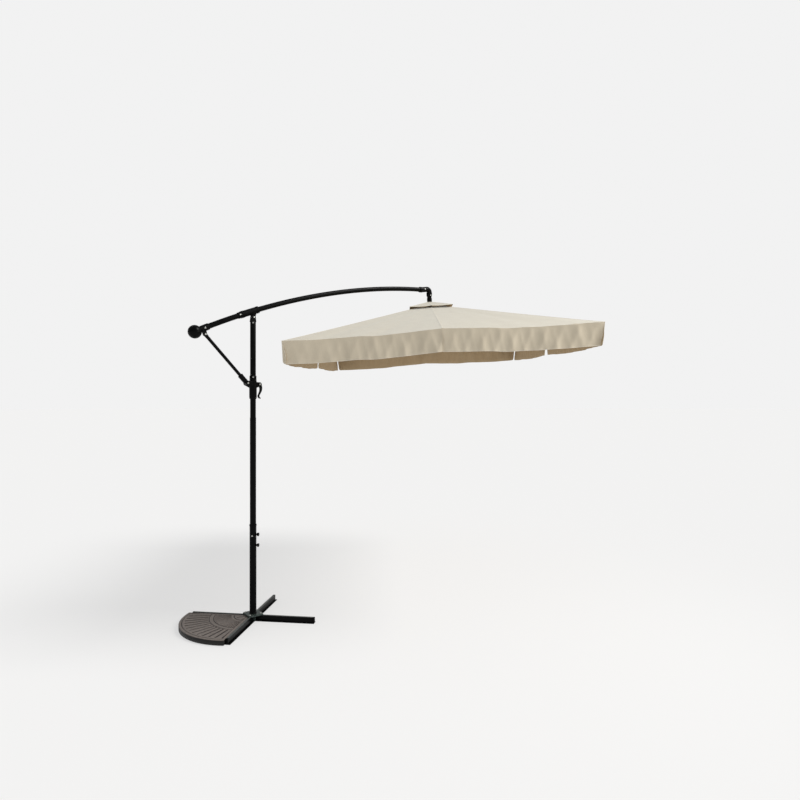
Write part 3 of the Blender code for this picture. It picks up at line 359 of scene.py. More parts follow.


# Cast slab: an attribute mixes in a near-black painted shade, in the grooves and on the walls; two noises
# give flecks and a fine sandy bump.
def makeSlabMaterial():
    material = bpy.data.materials.new("slabBronze")
    material.use_nodes = True
    nodes, links = material.node_tree.nodes, material.node_tree.links
    shader = nodes["Principled BSDF"]
    shader.inputs["Metallic"].default_value = slabFinish["metal"]
    place = nodes.new("ShaderNodeTexCoord")
    spots = nodes.new("ShaderNodeGroup")
    spots.node_tree = mottle
    high = np.array(slabFinish["high"])
    spots.inputs["Patch Scale"].default_value = slabFinish["patch"]
    spots.inputs["Grain Scale"].default_value = slabFinish["grain"]
    spots.inputs["Dark"].default_value = (*(high * 0.8), 1)
    spots.inputs["Light"].default_value = (*(high * 1.25), 1)
    spots.inputs["Rough Low"].default_value = slabFinish["rough"][0]
    spots.inputs["Rough High"].default_value = slabFinish["rough"][1]
    links.new(place.outputs["Object"], spots.inputs["Vector"])
    paintedShadeNode = nodes.new("ShaderNodeAttribute")
    paintedShadeNode.attribute_name = "paintedShade"
    mix = nodes.new("ShaderNodeMix")
    mix.data_type = "RGBA"
    mix.inputs["A"].default_value = (*slabFinish["low"], 1)
    links.new(paintedShadeNode.outputs["Fac"], mix.inputs["Factor"])
    links.new(spots.outputs["Color"], mix.inputs["B"])
    links.new(mix.outputs["Result"], shader.inputs["Base Color"])
    links.new(spots.outputs["Roughness"], shader.inputs["Roughness"])
    bump = nodes.new("ShaderNodeBump")
    bump.inputs["Strength"].default_value = slabFinish["bump"]
    bump.inputs["Distance"].default_value = slabFinish["depth"]
    links.new(spots.outputs["Height"], bump.inputs["Height"])
    links.new(bump.outputs["Normal"], shader.inputs["Normal"])
    return material


slabBronze = makeSlabMaterial()
print("stage: materials")


# ---- mesh building
meshLimits = dict(double=0.000002, sliver=0.000001, copyDouble=0.00001, copyFlat=0.5, copySharp=35,
                  bevelAbove=40, clothDouble=0.00002, clothSharp=48)


# Quad corners of a grid numbered row by row; wrapColumns joins the last column to the first, wrapRows the
# last row to the first.
def gridFaces(rows, columns, wrapColumns=False, wrapRows=False, start=0):
    row = np.arange(rows if wrapRows else rows - 1)[:, None]
    column = np.arange(columns if wrapColumns else columns - 1)[None, :]
    nextRow = (row + 1) % rows
    nextColumn = (column + 1) % columns
    corners = [row * columns + column, row * columns + nextColumn,
               nextRow * columns + nextColumn, nextRow * columns + column]
    return np.stack(corners, -1).reshape(-1, 4) + start


# Mesh object from points and faces, doubles merged and normals outwards, smooth below the given angle.
def solidPiece(name, points, faces, smooth=35):
    mesh = bpy.data.meshes.new(name)
    mesh.from_pydata(np.asarray(points).reshape(-1, 3).tolist(), [], [list(face) for face in faces])
    work = bmesh.new()
    work.from_mesh(mesh)
    bmesh.ops.remove_doubles(work, verts=work.verts, dist=meshLimits["double"])
    bmesh.ops.dissolve_degenerate(work, edges=work.edges, dist=meshLimits["sliver"])
    bmesh.ops.recalc_face_normals(work, faces=work.faces)
    work.to_mesh(mesh)
    work.free()
    mesh.shade_smooth()
    mesh.set_sharp_from_angle(angle=math.radians(smooth))
    piece = bpy.data.objects.new(name, mesh)
    bpy.context.scene.collection.objects.link(piece)
    return piece


# The piece's material, body and the CAD nodes that it stands for.
def finishPiece(piece, finish, body, *nodes):
    piece.data.materials.append(hard[finish])
    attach(piece, body)
    if nodes:
        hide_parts(*nodes)
    return piece


# Local points to the row frame: origin plus each coordinate along its axis.
def toFrame(points, origin, along, side=(0, 1, 0)):
    along = unit(along)
    side = np.asarray(side, float)
    if abs(np.dot(side, along)) > 0.95:
        side = np.array((1.0, 0, 0))
    first = unit(np.cross(side, along))
    second = np.cross(along, first)
    return np.asarray(origin) + points @ np.array([first, second, along])


# Turned shape: a profile of (radius, height) carried round an axis; lobes vary the radius with the angle.
def turnedPiece(name, profile, origin, along=(0, 0, 1), sides=48, ring=False, lobes=None, smooth=35):
    profile = np.asarray(profile, float)
    angle = np.linspace(0, 2 * np.pi, sides, endpoint=False)
    radius = profile[:, :1] * np.ones(sides)
    if lobes:
        count, depth, fromRadius = lobes
        lobed = 1 + depth * (np.cos(count * angle) - 1) / 2
        radius = radius * np.where(profile[:, :1] > fromRadius, lobed, 1)
    height = profile[:, 1:] * np.ones(sides)
    points = np.stack([radius * np.cos(angle), radius * np.sin(angle), height], -1).reshape(-1, 3)
    faces = gridFaces(len(profile), sides, wrapColumns=True, wrapRows=ring)
    return solidPiece(name, toFrame(points, origin, along), faces, smooth)


# Rings of points about a path in the plane of the arm: each lies along its own normal and across the plane.
def ringsAlong(path, normal, radii, sides):
    angle = np.linspace(0, 2 * np.pi, sides, endpoint=False)
    across = np.array((0.0, 1.0, 0.0))
    ring = np.cos(angle)[None, :, None] * normal[:, None, :] + np.sin(angle)[None, :, None] * across
    return path[:, None, :] + radii[:, None, None] * ring


# Round bar of changing radius carried along a path in the plane of the arm.
def sweptPiece(name, path, radii, sides=40, smooth=35):
    path = np.asarray(path, float)
    radii = np.asarray(radii, float)
    step = np.gradient(path, axis=0)
    for index in (0, -1):
        if np.linalg.norm(step[index]) < 1e-9:
            step[index] = step[1 if index == 0 else -2]
    tangent = step / np.maximum(np.linalg.norm(step, axis=1, keepdims=True), 1e-12)
    points = ringsAlong(path, np.cross(tangent, (0.0, 1.0, 0.0)), radii, sides)
    return solidPiece(name, points, gridFaces(len(path), sides, wrapColumns=True), smooth)


# Flat plate: an outline in X and Z carried across the arm's plane from one Y to another, with bevelled edges.
def platePiece(name, outline, near, far, bevel=0.0012, steps=3):
    outline = np.asarray(outline, float)
    count = len(outline)
    loops = [np.column_stack([outline[:, 0], np.full(count, y), outline[:, 1]]) for y in (near, far)]
    faces = gridFaces(2, count, wrapColumns=True).tolist()
    faces += [list(range(count)), list(range(count, 2 * count))]
    piece = solidPiece(name, np.concatenate(loops), faces, 40)
    addBevel(piece, bevel, steps)
    return piece


def addBevel(piece, width, steps=2):
    edge = piece.modifiers.new("edge", "BEVEL")
    edge.width = width
    edge.segments = steps
    edge.limit_method = "ANGLE"
    edge.angle_limit = math.radians(meshLimits["bevelAbove"])
    edge.harden_normals = True


# Points of an arc about a centre, by degrees.
def arc(centre, radius, start, end, steps):
    angle = np.radians(np.linspace(start, end, steps + 1))
    return np.column_stack([centre[0] + radius * np.cos(angle), centre[1] + radius * np.sin(angle)])


# Half round about the centre with sides that run on to a far point.
def eyeOutline(centre, radius, towards, steps=16, flare=0.0):
    centre = np.asarray(centre, float)
    reach = np.asarray(towards, float) - centre
    heading = math.degrees(math.atan2(reach[1], reach[0]))
    ring = arc(centre, radius, heading + 90, heading + 270, steps)
    across = unit((-reach[1], reach[0])) * flare
    return np.vstack([ring, ring[-1] + reach - across, ring[0] + reach + across])


# A merged copy of a CAD node with bevelled edges, in its place.
def refinedCopy(name, node, finish, bevel, steps=2):
    source = frame["nodes"][node].data
    mesh = source.copy()
    mesh.name = name
    mesh.materials.clear()
    work = bmesh.new()
    work.from_mesh(mesh)
    bmesh.ops.remove_doubles(work, verts=work.verts, dist=meshLimits["copyDouble"])
    flat = math.radians(meshLimits["copyFlat"])
    bmesh.ops.dissolve_limit(work, angle_limit=flat, verts=work.verts, edges=work.edges)
    work.to_mesh(mesh)
    work.free()
    if mesh.has_custom_normals:
        mesh.normals_split_custom_set([(0, 0, 0)] * len(mesh.loops))
    mesh.shade_smooth()
    mesh.set_sharp_from_angle(angle=math.radians(meshLimits["copySharp"]))
    piece = bpy.data.objects.new(name, mesh)
    bpy.context.scene.collection.objects.link(piece)
    addBevel(piece, bevel, steps)
    return finishPiece(piece, finish, frame["nodes"][node]["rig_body"], node)


# Screw and bolt kinds: head radius, head height, shank length, shank radius.
boltLook = dict(plate=(0.0075, 0.0050, 0.0090, 0.004), foot=(0.0060, 0.0035, 0.0010, 0.003),
                cap=(0.0060, 0.0035, 0.0005, 0.003), stop=(0.0055, 0.0035, 0.0005, 0.003),
                slim=(0.0055, 0.0030, 0.0005, 0.003))


# Screw or bolt head: a low dome with a round socket, on the surface at a place and pointing outwards.
def boltPiece(name, place, outwards, kind, body, node):
    radius, height, shank, shankRadius = boltLook[kind]
    profile = [(0, height * 0.45), (radius * 0.36, height * 0.45), (radius * 0.42, height * 0.95),
               (radius * 0.62, height), (radius * 0.86, height * 0.82), (radius * 0.98, height * 0.45),
               (radius, 0), (shankRadius, 0), (shankRadius, -shank), (0, -shank)]
    return finishPiece(turnedPiece(name, profile, place, outwards, 32), "zincPlate", body, node)


# ---- base: crossed legs, plates, bolts, foot tube
def boxOf(node):
    low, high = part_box(node)
    return np.array(low), np.array(high)


footLook = dict(wall=0.0018, weld=0.004, legBevel=0.0009, capBevel=0.0022, plateBevel=0.0010, highlightAbove=0.030,
                flange=0.0063, flangeCorner=0.006, collarStep=0.0018, gap=0.0002, edge=0.0005)


def makeBase():
    for number in range(1, 5):
        bar = refinedCopy(f"legBar{number}", f"cross_leg_{number}", "powderBlack", footLook["legBevel"])
        bar.data.materials.append(hard["paintedTopHighlight"])
        count = len(bar.data.polygons)
        middles, normals = np.empty(count * 3), np.empty(count * 3)
        bar.data.polygons.foreach_get("center", middles)
        bar.data.polygons.foreach_get("normal", normals)
        # Faces that point up on top of the legs take the lighter finish, a painted highlight.
        upper = (middles[2::3] > footLook["highlightAbove"]) & (normals[2::3] > 0.9)
        bar.data.polygons.foreach_set("material_index", upper.astype(np.int32))
        refinedCopy(f"legEnd{number}", f"leg_cap_{number}", "mouldedBlack", footLook["capBevel"], 3)
    refinedCopy("basePlate", "cross_core", "plateGreen", footLook["plateBevel"])
    coreTop = boxOf("cross_core")[1][2]
    low, high = boxOf("foot_tube")
    flangeTop = coreTop + footLook["flange"]
    half = high[0]
    corner = footLook["flangeCorner"]
    near = half - corner
    square = [(near, -half), (half, -near), (half, near), (near, half), (-near, half), (-half, near),
              (-half, -near), (-near, -half)]
    points = [(x, y, z) for z in (low[2], flangeTop) for x, y in square]
    faces = gridFaces(2, 8, wrapColumns=True).tolist() + [list(range(8)), list(range(8, 16))]
    flange = solidPiece("footFlange", points, faces)
    addBevel(flange, footLook["plateBevel"])
    finishPiece(flange, "plateGreen", "stand", "foot_tube")
    lowest, highest = boxOf("foot_collar")
    outer = highest[0] - footLook["collarStep"]
    inner = outer - footLook["wall"]
    weld = footLook["weld"]
    gap, edge = footLook["gap"], footLook["edge"]
    profile = [(outer, high[2]), (outer, flangeTop + weld), (outer + weld * 0.35, flangeTop + weld * 0.35),
               (outer + weld, flangeTop + gap), (inner, flangeTop + gap), (inner, high[2])]
    tube = turnedPiece("footTube", profile, (0, 0, 0), ring=True, sides=64, smooth=50)
    finishPiece(tube, "powderBlack", "stand", "foot_tube")
    rim = highest[0]
    base, top = lowest[2], highest[2]
    profile = [(rim - edge, top), (rim, top - 2 * edge), (rim, base + 2 * edge), (rim - edge, base),
               (inner + gap, base), (inner + gap, top)]
    collar = turnedPiece("footCollar", profile, (0, 0, 0), ring=True, sides=64)
    finishPiece(collar, "mouldedBlack", "stand", "foot_collar")
    for number in range(1, 5):
        low, high = boxOf(f"flange_bolt_{number}")
        place = ((low[0] + high[0]) / 2, (low[1] + high[1]) / 2, flangeTop)
        boltPiece(f"plateBolt{number}", place, (0, 0, 1), "plate", "stand", f"flange_bolt_{number}")
    low, high = boxOf("foot_bolt")
    middle = (low + high) / 2
    facing = unit((middle[0], middle[1], 0))
    place = facing * (outer + 0.0003) + np.array((0, 0, middle[2]))
    boltPiece("footScrew", place, facing, "foot", "stand", "foot_bolt")


knobLook = dict(radius=0.013, lobes=5, lobeDepth=0.22, thick=0.014, face=0.0298, neckEnd=0.0219)


# Clamping knobs: a lobed head on the screw's axis, and a neck that runs through the foot tube's wall.
def makeThumbKnobs():
    for number, body in ((1, "screw_upper"), (2, "screw_lower")):
        name = "upper_screw_turn" if number == 1 else "lower_screw_turn"
        place = joints[name]["pos_m"]
        axis = joints[name]["axis"]
        face = knobLook["face"]
        end = face + knobLook["thick"]
        radius = knobLook["radius"]
        profile = [(0, end - 0.0015), (0.004, end - 0.0015), (0.005, end), (radius * 0.8, end),
                   (radius * 0.94, end - 0.001), (radius, end - 0.003), (radius, face + 0.003),
                   (radius * 0.9, face + 0.0008), (radius * 0.7, face), (0.006, face), (0.006, 0.026),
                   (0.004, 0.0258), (0.004, knobLook["neckEnd"]), (0, knobLook["neckEnd"])]
        lobes = (knobLook["lobes"], knobLook["lobeDepth"], radius * 0.65)
        knob = turnedPiece(f"thumbKnob{number}", profile, place, axis, 80, lobes=lobes, smooth=50)
        finishPiece(knob, "mouldedBlack", body, f"thumb_screw_{number}")


slabLook = dict(rimCentre=-0.08, rimRadius=0.42, side=0.011, notch=0.05, rays=14, grooveDepth=0.0040,
                border=0.020, ringAt=0.55, columns=300, rows=190, rayHalf=0.0058, raySlope=0.0020,
                fineHalf=0.0030, fineSlope=0.0012, fanEnd=0.20, fanStart=0.05, fanLeaves=5, edgeRound=0.004,
                rings=((0.235, 0.006), (0.522, 0.004), (0.584, 0.004)), ringSlope=0.005)


# Plan of the slab in its own quarter, with each point's distance to the rim: rows run from the notch to the
# rim, columns from one side to the other.
def slabPlan():
    side, notch = slabLook["side"], slabLook["notch"]
    across = np.linspace(0, 1, slabLook["columns"])
    shift = -slabLook["rimCentre"] * math.sqrt(0.5)
    reach = math.sqrt(slabLook["rimRadius"] ** 2 - (shift - side) ** 2)
    first = math.atan2(side - shift, reach)
    last = math.pi / 2 - first
    rimAngle = first + (last - first) * across
    rim = np.column_stack([shift + slabLook["rimRadius"] * np.cos(rimAngle),
                           shift + slabLook["rimRadius"] * np.sin(rimAngle)])
    firstNotch = math.asin(side / notch)
    notchAngle = firstNotch + (math.pi / 2 - 2 * firstNotch) * across
    inner = np.column_stack([notch * np.cos(notchAngle), notch * np.sin(notchAngle)])
    out = np.linspace(0, 1, slabLook["rows"])[:, None, None]
    flat = inner[None] * (1 - out) + rim[None] * out
    return flat, slabLook["rimRadius"] - np.linalg.norm(flat - shift, axis=-1)


# Share of the groove's depth at each point of the plan, and the distance to the slab's edge: ray grooves,
# ring grooves and a small fan inside a border.
def slabRelief(flat, toRim):
    side, border, ringAt, rays = (slabLook[key] for key in ("side", "border", "ringAt", "rays"))
    distance = np.linalg.norm(flat - np.array((side, side)), axis=-1)
    heading = np.arctan2(flat[..., 1] - side, flat[..., 0] - side)
    share = distance / np.max(distance)
    edge = np.minimum(np.minimum(flat[..., 0], flat[..., 1]) - side, toRim)
    inField = ease(edge, border, border + 0.004)
    ray = np.abs(((heading / (math.pi / 2) * rays) % 1) - 0.5) * 2
    spacing = distance * (math.pi / 2) / rays / 2
    rayHalf = slabLook["rayHalf"]
    outerRay = 1 - ease(ray * spacing, rayHalf, rayHalf + slabLook["raySlope"])
    outerRay = outerRay * ease(share, ringAt + 0.045, ringAt + 0.055)
    outerRay = outerRay * ease(toRim, border + 0.016, border + 0.020)
    fineRay = np.abs(((heading / (math.pi / 2) * rays * 1.5 + 0.25) % 1) - 0.5) * 2
    fineHalf = slabLook["fineHalf"]
    innerRay = 1 - ease(fineRay * spacing / 1.5, fineHalf, fineHalf + slabLook["fineSlope"])
    innerRay = innerRay * ease(share, 0.27, 0.285) * (1 - ease(share, ringAt - 0.045, ringAt - 0.035))
    ringGroove = sum(1 - ease(np.abs(share - at), width, width + slabLook["ringSlope"])
                     for at, width in slabLook["rings"])
    inFan = 1 - ease(share, slabLook["fanEnd"], slabLook["fanEnd"] + 0.015)
    leaves = ease(np.abs(np.sin(heading * slabLook["fanLeaves"])), 0.25, 0.6)
    fan = inFan * leaves * ease(share, slabLook["fanStart"], slabLook["fanStart"] + 0.03)
    sunk = np.clip(outerRay + innerRay + 0.8 * ringGroove + 0.6 * (1 - fan) * inFan, 0, 1)
    frameGroove = 1 - ease(np.abs(edge - border), 0.0008, 0.0025)
    return np.maximum(sunk * inField, frameGroove), edge


# The top's height is the slab's top less the grooves and its edge's rounding; a wall and a base close it.
def makeSlab():
    low, high = boxOf("ballast_slab")
    columns, rows = slabLook["columns"], slabLook["rows"]
    root = math.sqrt(0.5)
    flat, toRim = slabPlan()
    sunk, edge = slabRelief(flat, toRim)
    rounding = slabLook["edgeRound"] * (1 - ease(edge, 0.0, 0.006)) ** 2
    top = high[2] - slabLook["grooveDepth"] * sunk - rounding
    quarter = np.array([[-root, -root], [root, -root]])
    plan = flat @ quarter.T
    upper = np.concatenate([plan, top[..., None]], -1).reshape(-1, 3)
    loop = np.concatenate([np.arange(columns), np.arange(1, rows) * columns + columns - 1,
                           (rows - 1) * columns + np.arange(columns - 2, -1, -1),
                           np.arange(rows - 2, 0, -1) * columns])
    skirt = upper[loop].copy()
    skirt[:, 2] = low[2]
    count = len(upper)
    wall = np.stack([loop, np.roll(loop, -1), count + np.roll(np.arange(len(loop)), -1),
                     count + np.arange(len(loop))], -1)
    faces = gridFaces(rows, columns).tolist() + wall.tolist() + [list(range(count, count + len(loop)))]
    points = np.concatenate([upper, skirt])
    mesh = bpy.data.meshes.new("ballastFan")
    mesh.from_pydata(points.tolist(), [], faces)
    # Painted shade: the attribute falls towards near black in deeper grooves, and is zero on the walls and
    # the top's outer edge.
    paintedShade = mesh.attributes.new("paintedShade", "FLOAT", "POINT")
    shade = np.concatenate([(1 - sunk * 0.97).ravel(), np.full(len(loop), 0.0)])
    shade[loop] = 0.0
    paintedShade.data.foreach_set("value", shade.astype(np.float32))
    work = bmesh.new()
    work.from_mesh(mesh)
    bmesh.ops.recalc_face_normals(work, faces=work.faces)
    work.to_mesh(mesh)
    work.free()
    mesh.shade_smooth()
    mesh.set_sharp_from_angle(angle=math.radians(50))
    mesh.materials.append(slabBronze)
    slab = bpy.data.objects.new("ballastFan", mesh)
    bpy.context.scene.collection.objects.link(slab)
    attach(slab, "stand")
    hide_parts("ballast_slab")


makeBase()
makeThumbKnobs()
makeSlab()
print("stage: base")


# ---- mast
mastLook = dict(lowerWall=0.0012, upperWall=0.0012, chamfer=0.0004)


def makeMast():
    for name, node, wall in (("mastLower", "mast_lower", mastLook["lowerWall"]),
                             ("mastUpper", "mast_upper", mastLook["upperWall"])):
        low, high = boxOf(node)
        outer = high[0]
        inner = outer - wall
        chamfer = mastLook["chamfer"]
        profile = [(outer, low[2] + chamfer), (outer, high[2] - chamfer), (outer - chamfer, high[2]),
                   (inner, high[2]), (inner, low[2]), (outer - chamfer, low[2])]
        tube = turnedPiece(name, profile, (0, 0, 0), ring=True, sides=64)
        finishPiece(tube, "powderBlack", "mast", node)


viewSide = (-0.35, -0.9367, 0.0)
headLook = dict(earRadius=0.015, earWall=0.008, lugWall=0.015, seamGap=0.0003, shoulder=0.017,
                plugStep=0.0016)


# Yoke of the mast: a plug and shoulder, two ears and their pin.
def makeMastHead():
    low, high = boxOf("mast_head")
    rim = boxOf("mast_upper")[1][0]
    seam = boxOf("mast_upper")[1][2] + headLook["seamGap"]
    pivot = joints["arm_tilt"]["pos_m"]
    top = seam + headLook["shoulder"]
    plug = rim - headLook["plugStep"]
    profile = [(0, top), (rim * 0.84, top), (rim * 0.95, top - 0.0022), (rim, top - 0.005), (rim, seam),
               (plug, seam), (plug, low[2]), (0, low[2])]
    plugPiece = turnedPiece("headPlug", profile, (0, 0, 0), sides=64, smooth=40)
    finishPiece(plugPiece, "mouldedBlack", "mast", "mast_head")
    outline = eyeOutline((0, pivot[2]), headLook["earRadius"], (0, seam + 0.012), flare=0.0042)
    inner = headLook["lugWall"] / 2 + headLook["seamGap"]
    outer = inner + headLook["earWall"]
    for name, near, far in (("headEarNear", -outer, -inner), ("headEarFar", inner, outer)):
        finishPiece(platePiece(name, outline, near, far, 0.0018), "mouldedBlack", "mast", "mast_head")
    pinAcross("headPinBright", pivot[0], pivot[2], outer + 0.002, "mast", "head_pin")
    place = np.array(viewSide) * (rim + 0.0001) + np.array((0, 0, seam + 0.0055))
    boltPiece("headScrew", place, viewSide, "slim", "mast", "mast_head")


# Bright pin across the arm's plane with a domed head on the near side and a plain end on the far side.
def pinAcross(name, x, z, half, body, node, shankRadius=0.004, head=0.0065):
    dome = [(0, 0.0018), (0.36, 0.0018), (0.42, 0.0034), (0.62, 0.0036), (0.86, 0.0030), (0.98, 0.0016),
            (1, 0)]
    profile = [(head * share, height) for share, height in dome]
    profile += [(shankRadius, 0), (shankRadius, -2 * half), (0, -2 * half)]
    piece = turnedPiece(name, profile, (x, -half - 0.0003, z), (0, -1, 0), 32)
    finishPiece(piece, "zincPlate", body, node)


makeMast()
makeMastHead()
print("stage: mast")

# ---- arm
armShape = dict(crownX=1.872, crownZ=2.5327, bend=5.282, wall=0.0012, steps=90, sides=48)


# Height of the arm's arc at X, and the arc's direction there.
def armHeight(x):
    run = np.asarray(x, float) - armShape["crownX"]
    return armShape["crownZ"] - armShape["bend"] + np.sqrt(armShape["bend"] ** 2 - run ** 2)


def armPath(xs):
    xs = np.asarray(xs, float)
    return np.column_stack([xs, np.zeros(len(xs)), armHeight(xs)])


def armSlope(x):
    return math.atan2(armShape["crownX"] - x, float(armHeight(x)) - armShape["crownZ"] + armShape["bend"])


armSpan = dict(rear=-0.368, tip=1.527, sleeveStart=-0.086, sleeveEnd=0.039, clampStart=-0.372,
               clampEnd=-0.320, knobX=-0.413)
armLook = dict(radius=0.0185, sleeve=0.0236, collar=0.0252, clamp=0.0228, lug=0.014, fittingSides=56,
               stopNarrow=0.0222, stopWide=0.0242, eye=0.0118, knob=0.0455)


def makeArmTube():
    count = armShape["steps"]
    xs = np.linspace(armSpan["rear"], armSpan["tip"], count)
    inner = armLook["radius"] - armShape["wall"]
    path = armPath(np.concatenate([xs, xs[::-1]]))
    radii = np.concatenate([np.full(count, armLook["radius"]), np.full(count, inner)])
    step = np.gradient(armPath(xs), axis=0)
    tangent = step / np.linalg.norm(step, axis=1, keepdims=True)
    normal = np.cross(tangent, (0.0, 1.0, 0.0))
    normal = np.concatenate([normal, normal[::-1]])
    points = ringsAlong(path, normal, radii, armShape["sides"])
    faces = gridFaces(len(path), armShape["sides"], wrapColumns=True, wrapRows=True)
    finishPiece(solidPiece("armTube", points, faces), "powderBlack", "arm", "arm_tube")


# A fitting round the arm: radii change along the arc between two X places, closed at both ends.
def armFitting(name, stations, finish, node):
    xs = np.array([station[0] for station in stations])
    radii = np.array([station[1] for station in stations])
    inner = armLook["radius"] + 0.0004
    xs = np.concatenate([[xs[0]], xs, [xs[-1]]])
    radii = np.concatenate([[inner], radii, [inner]])
    path = armPath(xs)
    slopes = np.array([armSlope(x) for x in xs])
    normal = np.column_stack([-np.sin(slopes), np.zeros(len(xs)), np.cos(slopes)])
    points = ringsAlong(path, normal, radii, armLook["fittingSides"])
    faces = gridFaces(len(xs), armLook["fittingSides"], wrapColumns=True, wrapRows=True)
    return finishPiece(solidPiece(name, points, faces), finish, "arm", node)


def makeArmSleeve():
    start, end = armSpan["sleeveStart"], armSpan["sleeveEnd"]
    body, collar = armLook["sleeve"], armLook["collar"]
    stations = [(start, collar - 0.0014), (start + 0.001, collar), (start + 0.016, collar),
                (start + 0.0175, body)]
    stations += [(x, body) for x in np.linspace(start + 0.019, end - 0.0165, 12)]
    stations += [(end - 0.015, collar), (end - 0.001, collar), (end, collar - 0.0014)]
    armFitting("sleeveOnArm", stations, "mouldedBlack", "arm_sleeve")
    narrow, wide = armLook["stopNarrow"], armLook["stopWide"]
    stations = [(start - 0.026, narrow - 0.001), (start - 0.025, narrow), (start - 0.010, narrow),
                (start - 0.0095, wide), (start - 0.001, wide), (start - 0.0004, wide - 0.0006)]
    armFitting("sleeveStop", stations, "mouldedBlack", "arm_sleeve")
    place = (start - 0.017, -0.0220, float(armHeight(start - 0.017)) + 0.004)
    boltPiece("stopScrew", place, (0, -1, 0.1), "stop", "arm", "arm_sleeve")
    pivot = joints["arm_tilt"]["pos_m"]
    outline = eyeOutline((0, pivot[2]), armLook["lug"], (0, float(armHeight(0)) - 0.016), flare=0.010)
    half = headLook["lugWall"] / 2
    finishPiece(platePiece("sleeveLug", outline, -half, half, 0.0015), "mouldedBlack", "arm", "arm_sleeve")


def makeRearEnd():
    start, end = armSpan["clampStart"], armSpan["clampEnd"]
    clamp = armLook["clamp"]
    stations = [(start, clamp - 0.001), (start + 0.001, clamp)]
    stations += [(x, clamp) for x in np.linspace(start + 0.004, end - 0.004, 8)]
    stations += [(end - 0.001, clamp), (end, clamp - 0.001)]
    armFitting("rearClamp", stations, "mouldedBlack", "rear_bracket")
    pivot = joints["strut_swing"]["pos_m"]
    above = (pivot[0] - 0.008, float(armHeight(pivot[0])) - 0.0166)
    outline = eyeOutline((pivot[0], pivot[2]), armLook["eye"], above, flare=0.001)
    for name, near, far in (("rearEarNear", -0.0123, -0.0063), ("rearEarFar", 0.0063, 0.0123)):
        finishPiece(platePiece(name, outline, near, far, 0.0012), "mouldedBlack", "arm", "rear_bracket")
    pinAcross("strutPinBright", pivot[0], pivot[2], 0.0143, "arm", "strut_pin")
    low, high = boxOf("bracket_bolt")
    middle = (low + high) / 2
    place = (middle[0], high[1] - 0.0002, middle[2])
    boltPiece("clampScrew", place, (0, -1, 0), "cap", "arm", "bracket_bolt")
    makeKnob()


# Glossy ball on a short neck, turned about the arm's direction.
def makeKnob():
    x = armSpan["knobX"]
    slope = armSlope(x)
    face = (armSpan["clampStart"] - 0.0006 - x) / math.cos(slope)
    radius = armLook["knob"]
    neck = armLook["clamp"] - 0.002
    turns = np.radians(np.linspace(30, 180, 40))
    profile = [(0, face), (neck - 0.0008, face), (neck, face - 0.0008), (neck, face - 0.002)]
    profile += [(radius * math.sin(turn), radius * math.cos(turn)) for turn in turns]
    along = (math.cos(slope), 0, math.sin(slope))
    knob = turnedPiece("ballEnd", profile, (x, 0, float(armHeight(x))), along, 72, smooth=40)
    finishPiece(knob, "glossBlack", "arm", "ball_knob")


makeArmTube()
makeArmSleeve()
makeRearEnd()
print("stage: arm")

# ---- strut and slider
strutLook = dict(radius=0.0112, wall=0.0012, eyeThick=0.012, eye=0.0115, socket=0.0185, tubeStart=0.0403,
                 tubeShort=0.0743, tongue=0.0150)
sliderLook = dict(strutPin=(-0.046, 1.678), leverPin=(0.046, 1.671), wall=0.0045, wide=0.0262)


# Strut along its line from the upper pivot to the slider's pin: eye, tube and thick socket.
def makeStrut():
    upper = np.array(joints["strut_swing"]["pos_m"])
    lower = np.array((sliderLook["strutPin"][0], 0.0, sliderLook["strutPin"][1]))
    along = unit(lower - upper)
    length = float(np.linalg.norm(lower - upper))
    radius = strutLook["radius"]
    profile = [(0, 0.020), (radius * 0.9, 0.020), (radius, 0.0215), (radius, 0.040), (0, 0.040)]
    finishPiece(turnedPiece("strutEyeNeck", profile, upper, along, 40), "mouldedBlack", "strut", "strut_eye")
    half = strutLook["eyeThick"] / 2
    outline = eyeOutline((upper[0], upper[2]), strutLook["eye"], (upper + along * 0.0225)[[0, 2]])
    finishPiece(platePiece("strutEye", outline, -half, half, 0.0012), "mouldedBlack", "strut", "strut_eye")
    start, end = strutLook["tubeStart"], length - strutLook["tubeShort"]
    inner = radius - strutLook["wall"]
    profile = [(radius, start), (radius, end), (inner, end), (inner, start)]
    tube = turnedPiece("strutBar", profile, upper, along, 40, ring=True)
    finishPiece(tube, "powderBlack", "strut", "strut_tube")
    thick = strutLook["socket"]
    top = end + 0.0003
    bottom = length - 0.0105
    profile = [(0, top), (radius + 0.0030, top), (thick - 0.0012, top + 0.0006), (thick, top + 0.002),
               (thick, top + 0.014), (thick - 0.0008, top + 0.015), (thick - 0.0008, bottom - 0.004),
               (thick - 0.0022, bottom - 0.001), (thick - 0.004, bottom), (0, bottom)]
    socket = turnedPiece("strutSocket", profile, upper, along, 56, smooth=40)
    finishPiece(socket, "mouldedBlack", "strut", "strut_socket")
    back = lower - along * 0.0120
    outline = eyeOutline((lower[0], lower[2]), strutLook["tongue"], back[[0, 2]])
    wide = strutLook["socket"] - 0.0012
    tongue = platePiece("strutTongue", outline, -wide, wide, 0.0015)
    finishPiece(tongue, "mouldedBlack", "strut", "strut_socket")


